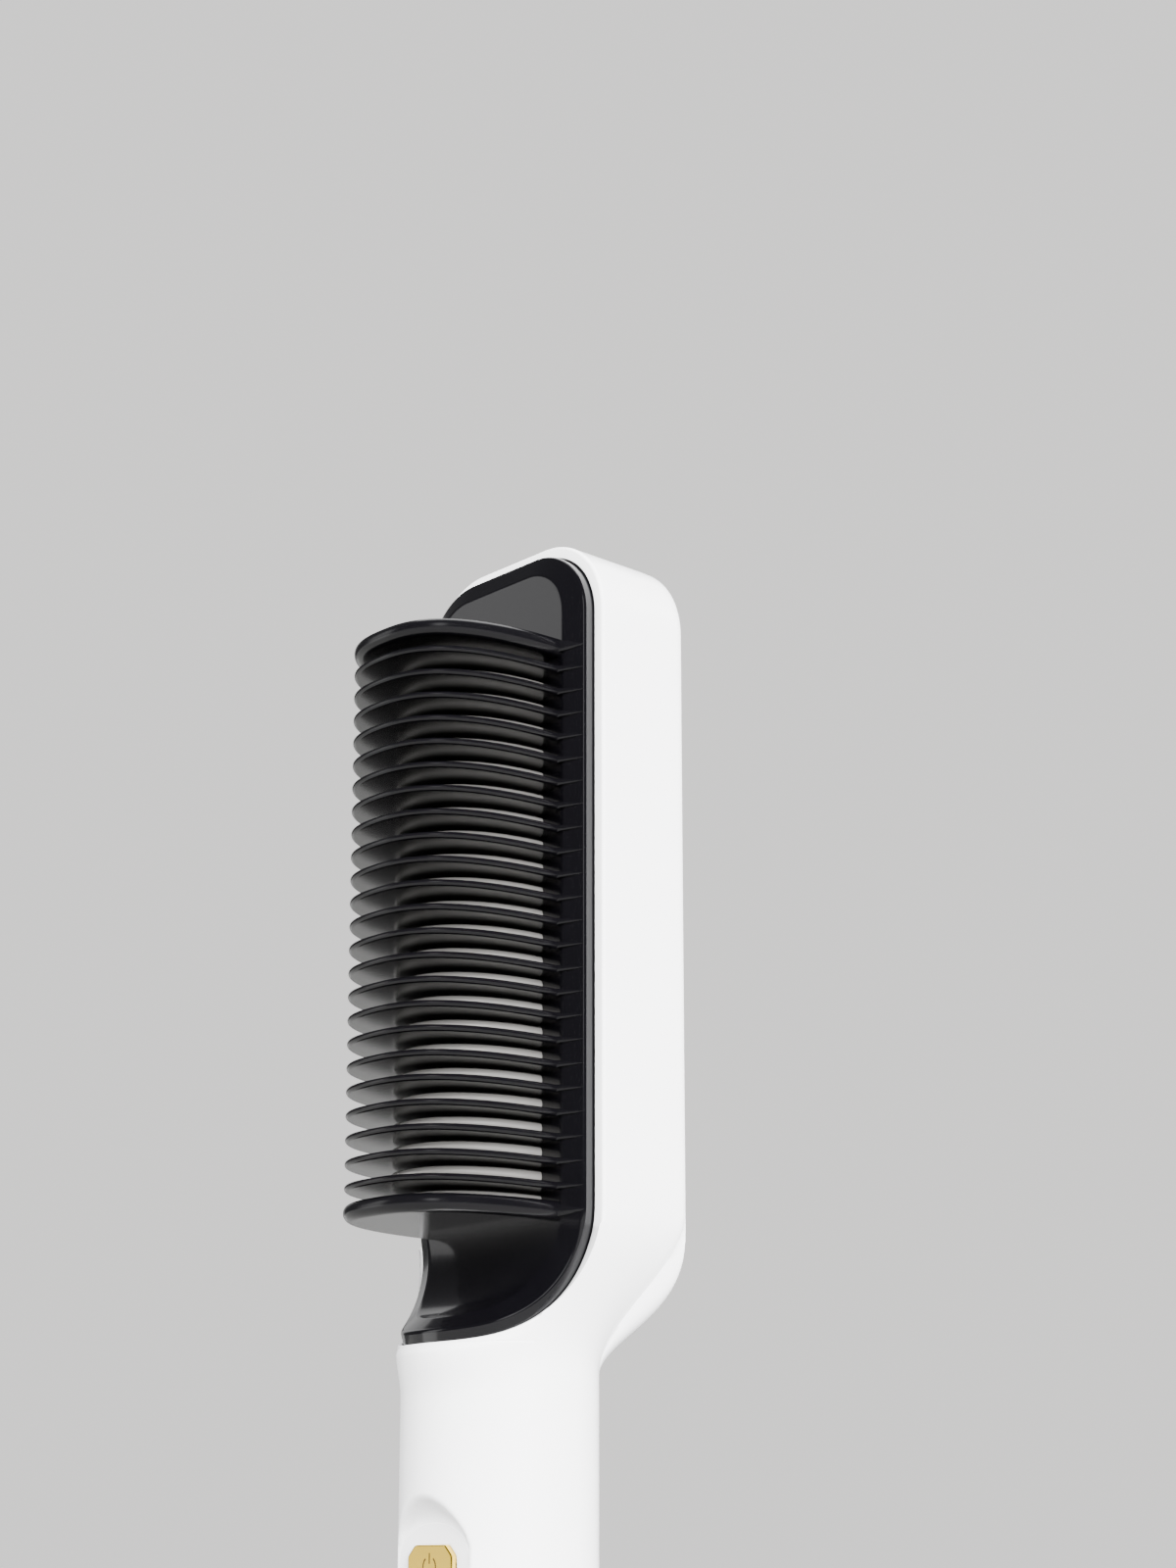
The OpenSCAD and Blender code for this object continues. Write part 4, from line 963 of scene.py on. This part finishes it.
# %% The back panel
panel_profile = ((0.0, 1.80), (0.0, 1.27), (0.05, 1.14), (0.15, 1.05), (0.30, 1.01), (0.6, 1.00))
rings = [head_loop(PANEL_EDGE + inset, FRAME_Y - depth) for inset, depth in panel_profile]
back = moulding("glossy_back_panel", rings, angle=30)
dress(back, panel_gloss, "housing", "white_panel", "back_panel")

# %% [markdown]
# ## Controls
# The control panel is a thin glossy plate with an arched top, laid in the scoop of the handle. The
# buttons pass through it with a hair of clearance, which shows as a fine dark line round them. So the
# panel is cut with the buttons' own outlines, a little larger.

# %% Outlines of the panel and the buttons
def arched(half_w, z0, z_arch, height, r, steps=40):
    """A flat arch above, straight sides, and two round corners of radius r below."""
    points = [(half_w * math.cos(math.pi * i / steps), z_arch + height * math.sin(math.pi * i / steps))
              for i in range(steps + 1)]
    for cx, first in ((-half_w + r, 180), (half_w - r, 270)):
        points += [(cx + r * math.cos(math.radians(first + 90 * i / 8)),
                    z0 + r + r * math.sin(math.radians(first + 90 * i / 8))) for i in range(9)]
    return points

def octagon(w, h, cut, z):
    """Half width, half height, and how much each corner is cut off."""
    return [(w, z + h - cut), (w - cut, z + h), (cut - w, z + h), (-w, z + h - cut),
            (-w, z + cut - h), (cut - w, z - h), (w - cut, z - h), (w, z + cut - h)]

def disc(r, z, steps=64):
    angles = [2 * math.pi * i / steps for i in range(steps)]
    return [(r * math.cos(angle), z + r * math.sin(angle)) for angle in angles]

print("corners round a button:", len(disc(1, 0)))

# %% Cut the holes for the buttons and the lights
POWER_Z, PLUS_Z, MINUS_Z = 102.0, 82.0, 67.0
KEY_W, KEY_H, KEY_CUT, ROUND_R, KEY_GAP = 5.5, 3.2, 1.73, 4.5, 0.14
light_places = [34 + 5.5 * i for i in range(5)]
PANEL_W, PANEL_LOW, PANEL_ARCH, ARCH_H = 8.62, 32.2, 103.2, 5.5
rings = []
for inset, depth in ((0, 1.3), (0, 0.12), (0.04, 0.03), (0.12, 0)):
    outline = arched(PANEL_W - inset, PANEL_LOW + inset, PANEL_ARCH, ARCH_H - inset, 3.0)
    rings.append(at_depth(outline, PANEL_Y + depth))
panel = moulding("control_plate", rings, angle=30)
holes = [octagon(KEY_W + KEY_GAP, KEY_H + KEY_GAP, KEY_CUT + 0.08, POWER_Z),
         disc(ROUND_R + KEY_GAP, PLUS_Z), disc(ROUND_R + KEY_GAP, MINUS_Z)]
holes += [disc(1.06, z, 32) for z in light_places]
cut_away(panel, join([moulding("cut", [at_depth(hole, PANEL_Y - 3), at_depth(hole, PANEL_Y + 3)])
                      for hole in holes]))
shade(panel, 15, keep_sharp=False)
dress(panel, panel_gloss, "housing", "white_panel", "control_panel")

# %% [markdown]
# A button is a plated cap with a soft shoulder. Behind the panel it has a wider flange, so that it can't
# fall out through its hole. Each one rides on its own body, and its symbol rides with it.

# %% Buttons: a cap with a soft shoulder on a wider flange
def corner_cut(points, r, steps=4):
    """Round every corner of an outline by walking a short curve from side to side."""
    done = []
    for i, (x, z) in enumerate(points):
        (px, pz), (nx, nz) = points[i - 1], points[(i + 1) % len(points)]
        a, b = math.hypot(px - x, pz - z), math.hypot(nx - x, nz - z)
        start = (x + (px - x) * r / a, z + (pz - z) * r / a)
        end = (x + (nx - x) * r / b, z + (nz - z) * r / b)
        for s in range(steps + 1):
            t = s / steps
            done.append(tuple((1 - t) ** 2 * p + 2 * t * (1 - t) * q + t * t * r_end
                              for p, q, r_end in zip(start, (x, z), end)))
    return done

cap_y = box_mm("power_button")[0].y

def button(name, outline_at):
    profile = [(-0.8, PANEL_Y + 2.6), (-0.8, PANEL_Y + 1.8), (0.0, PANEL_Y + 1.8), (0.0, cap_y + 0.22),
               (0.05, cap_y + 0.10), (0.14, cap_y + 0.03), (0.28, cap_y)]
    return moulding(name, [at_depth(outline_at(inset), y) for inset, y in profile], angle=30)

def key_outline(inset):
    return corner_cut(octagon(KEY_W - inset, KEY_H - inset, KEY_CUT - inset * 0.586, POWER_Z), 0.4)

power = button("power_key", key_outline)
plus = button("plus_key", lambda inset: disc(ROUND_R - inset, PLUS_Z))
minus = button("minus_key", lambda inset: disc(ROUND_R - inset, MINUS_Z))
for piece, body in ((power, "power"), (plus, "plus"), (minus, "minus")):
    dress(piece, pale_gold, body, "gold_trim", body + "_button")

# %% Symbols, printed a hair above the caps
PRINT, SUNK = -0.008, 0.05              # a symbol's face before the cap, and its back inside it

def ring_part(name, r, half_w, first, last, z, steps=48):
    """Part of a ring, from the first to the last angle in degrees."""
    rings = []
    for i in range(steps + 1):
        t = math.radians(first + (last - first) * i / steps)
        rings.append([((r + off) * math.cos(t), cap_y + depth, z + (r + off) * math.sin(t))
                      for off, depth in ((-half_w, SUNK), (-half_w, PRINT), (half_w, PRINT), (half_w, SUNK))])
    return moulding(name, rings, angle=40)

def bar(name, w, h, z, y):
    outline = rounded(w, z - h / 2, z + h / 2, 0.14, 5)
    return moulding(name, [at_depth(outline, y + SUNK), at_depth(outline, y + PRINT)], angle=40)

power_sign = join([ring_part("power_sign", 1.55, 0.15, 126, 414, POWER_Z - 0.2),
                   bar("stem", 0.30, 1.75, POWER_Z + 1.1, cap_y)])
plus_sign = join([bar("plus_sign", 3.2, 0.4, PLUS_Z, cap_y),
                  bar("plus_up", 0.4, 3.2, PLUS_Z, cap_y - 0.003)])
minus_sign = bar("minus_sign", 3.2, 0.4, MINUS_Z, cap_y)
for piece, body in ((power_sign, "power"), (plus_sign, "plus"), (minus_sign, "minus")):
    dress(piece, deep_gold, body, "gold_trim")
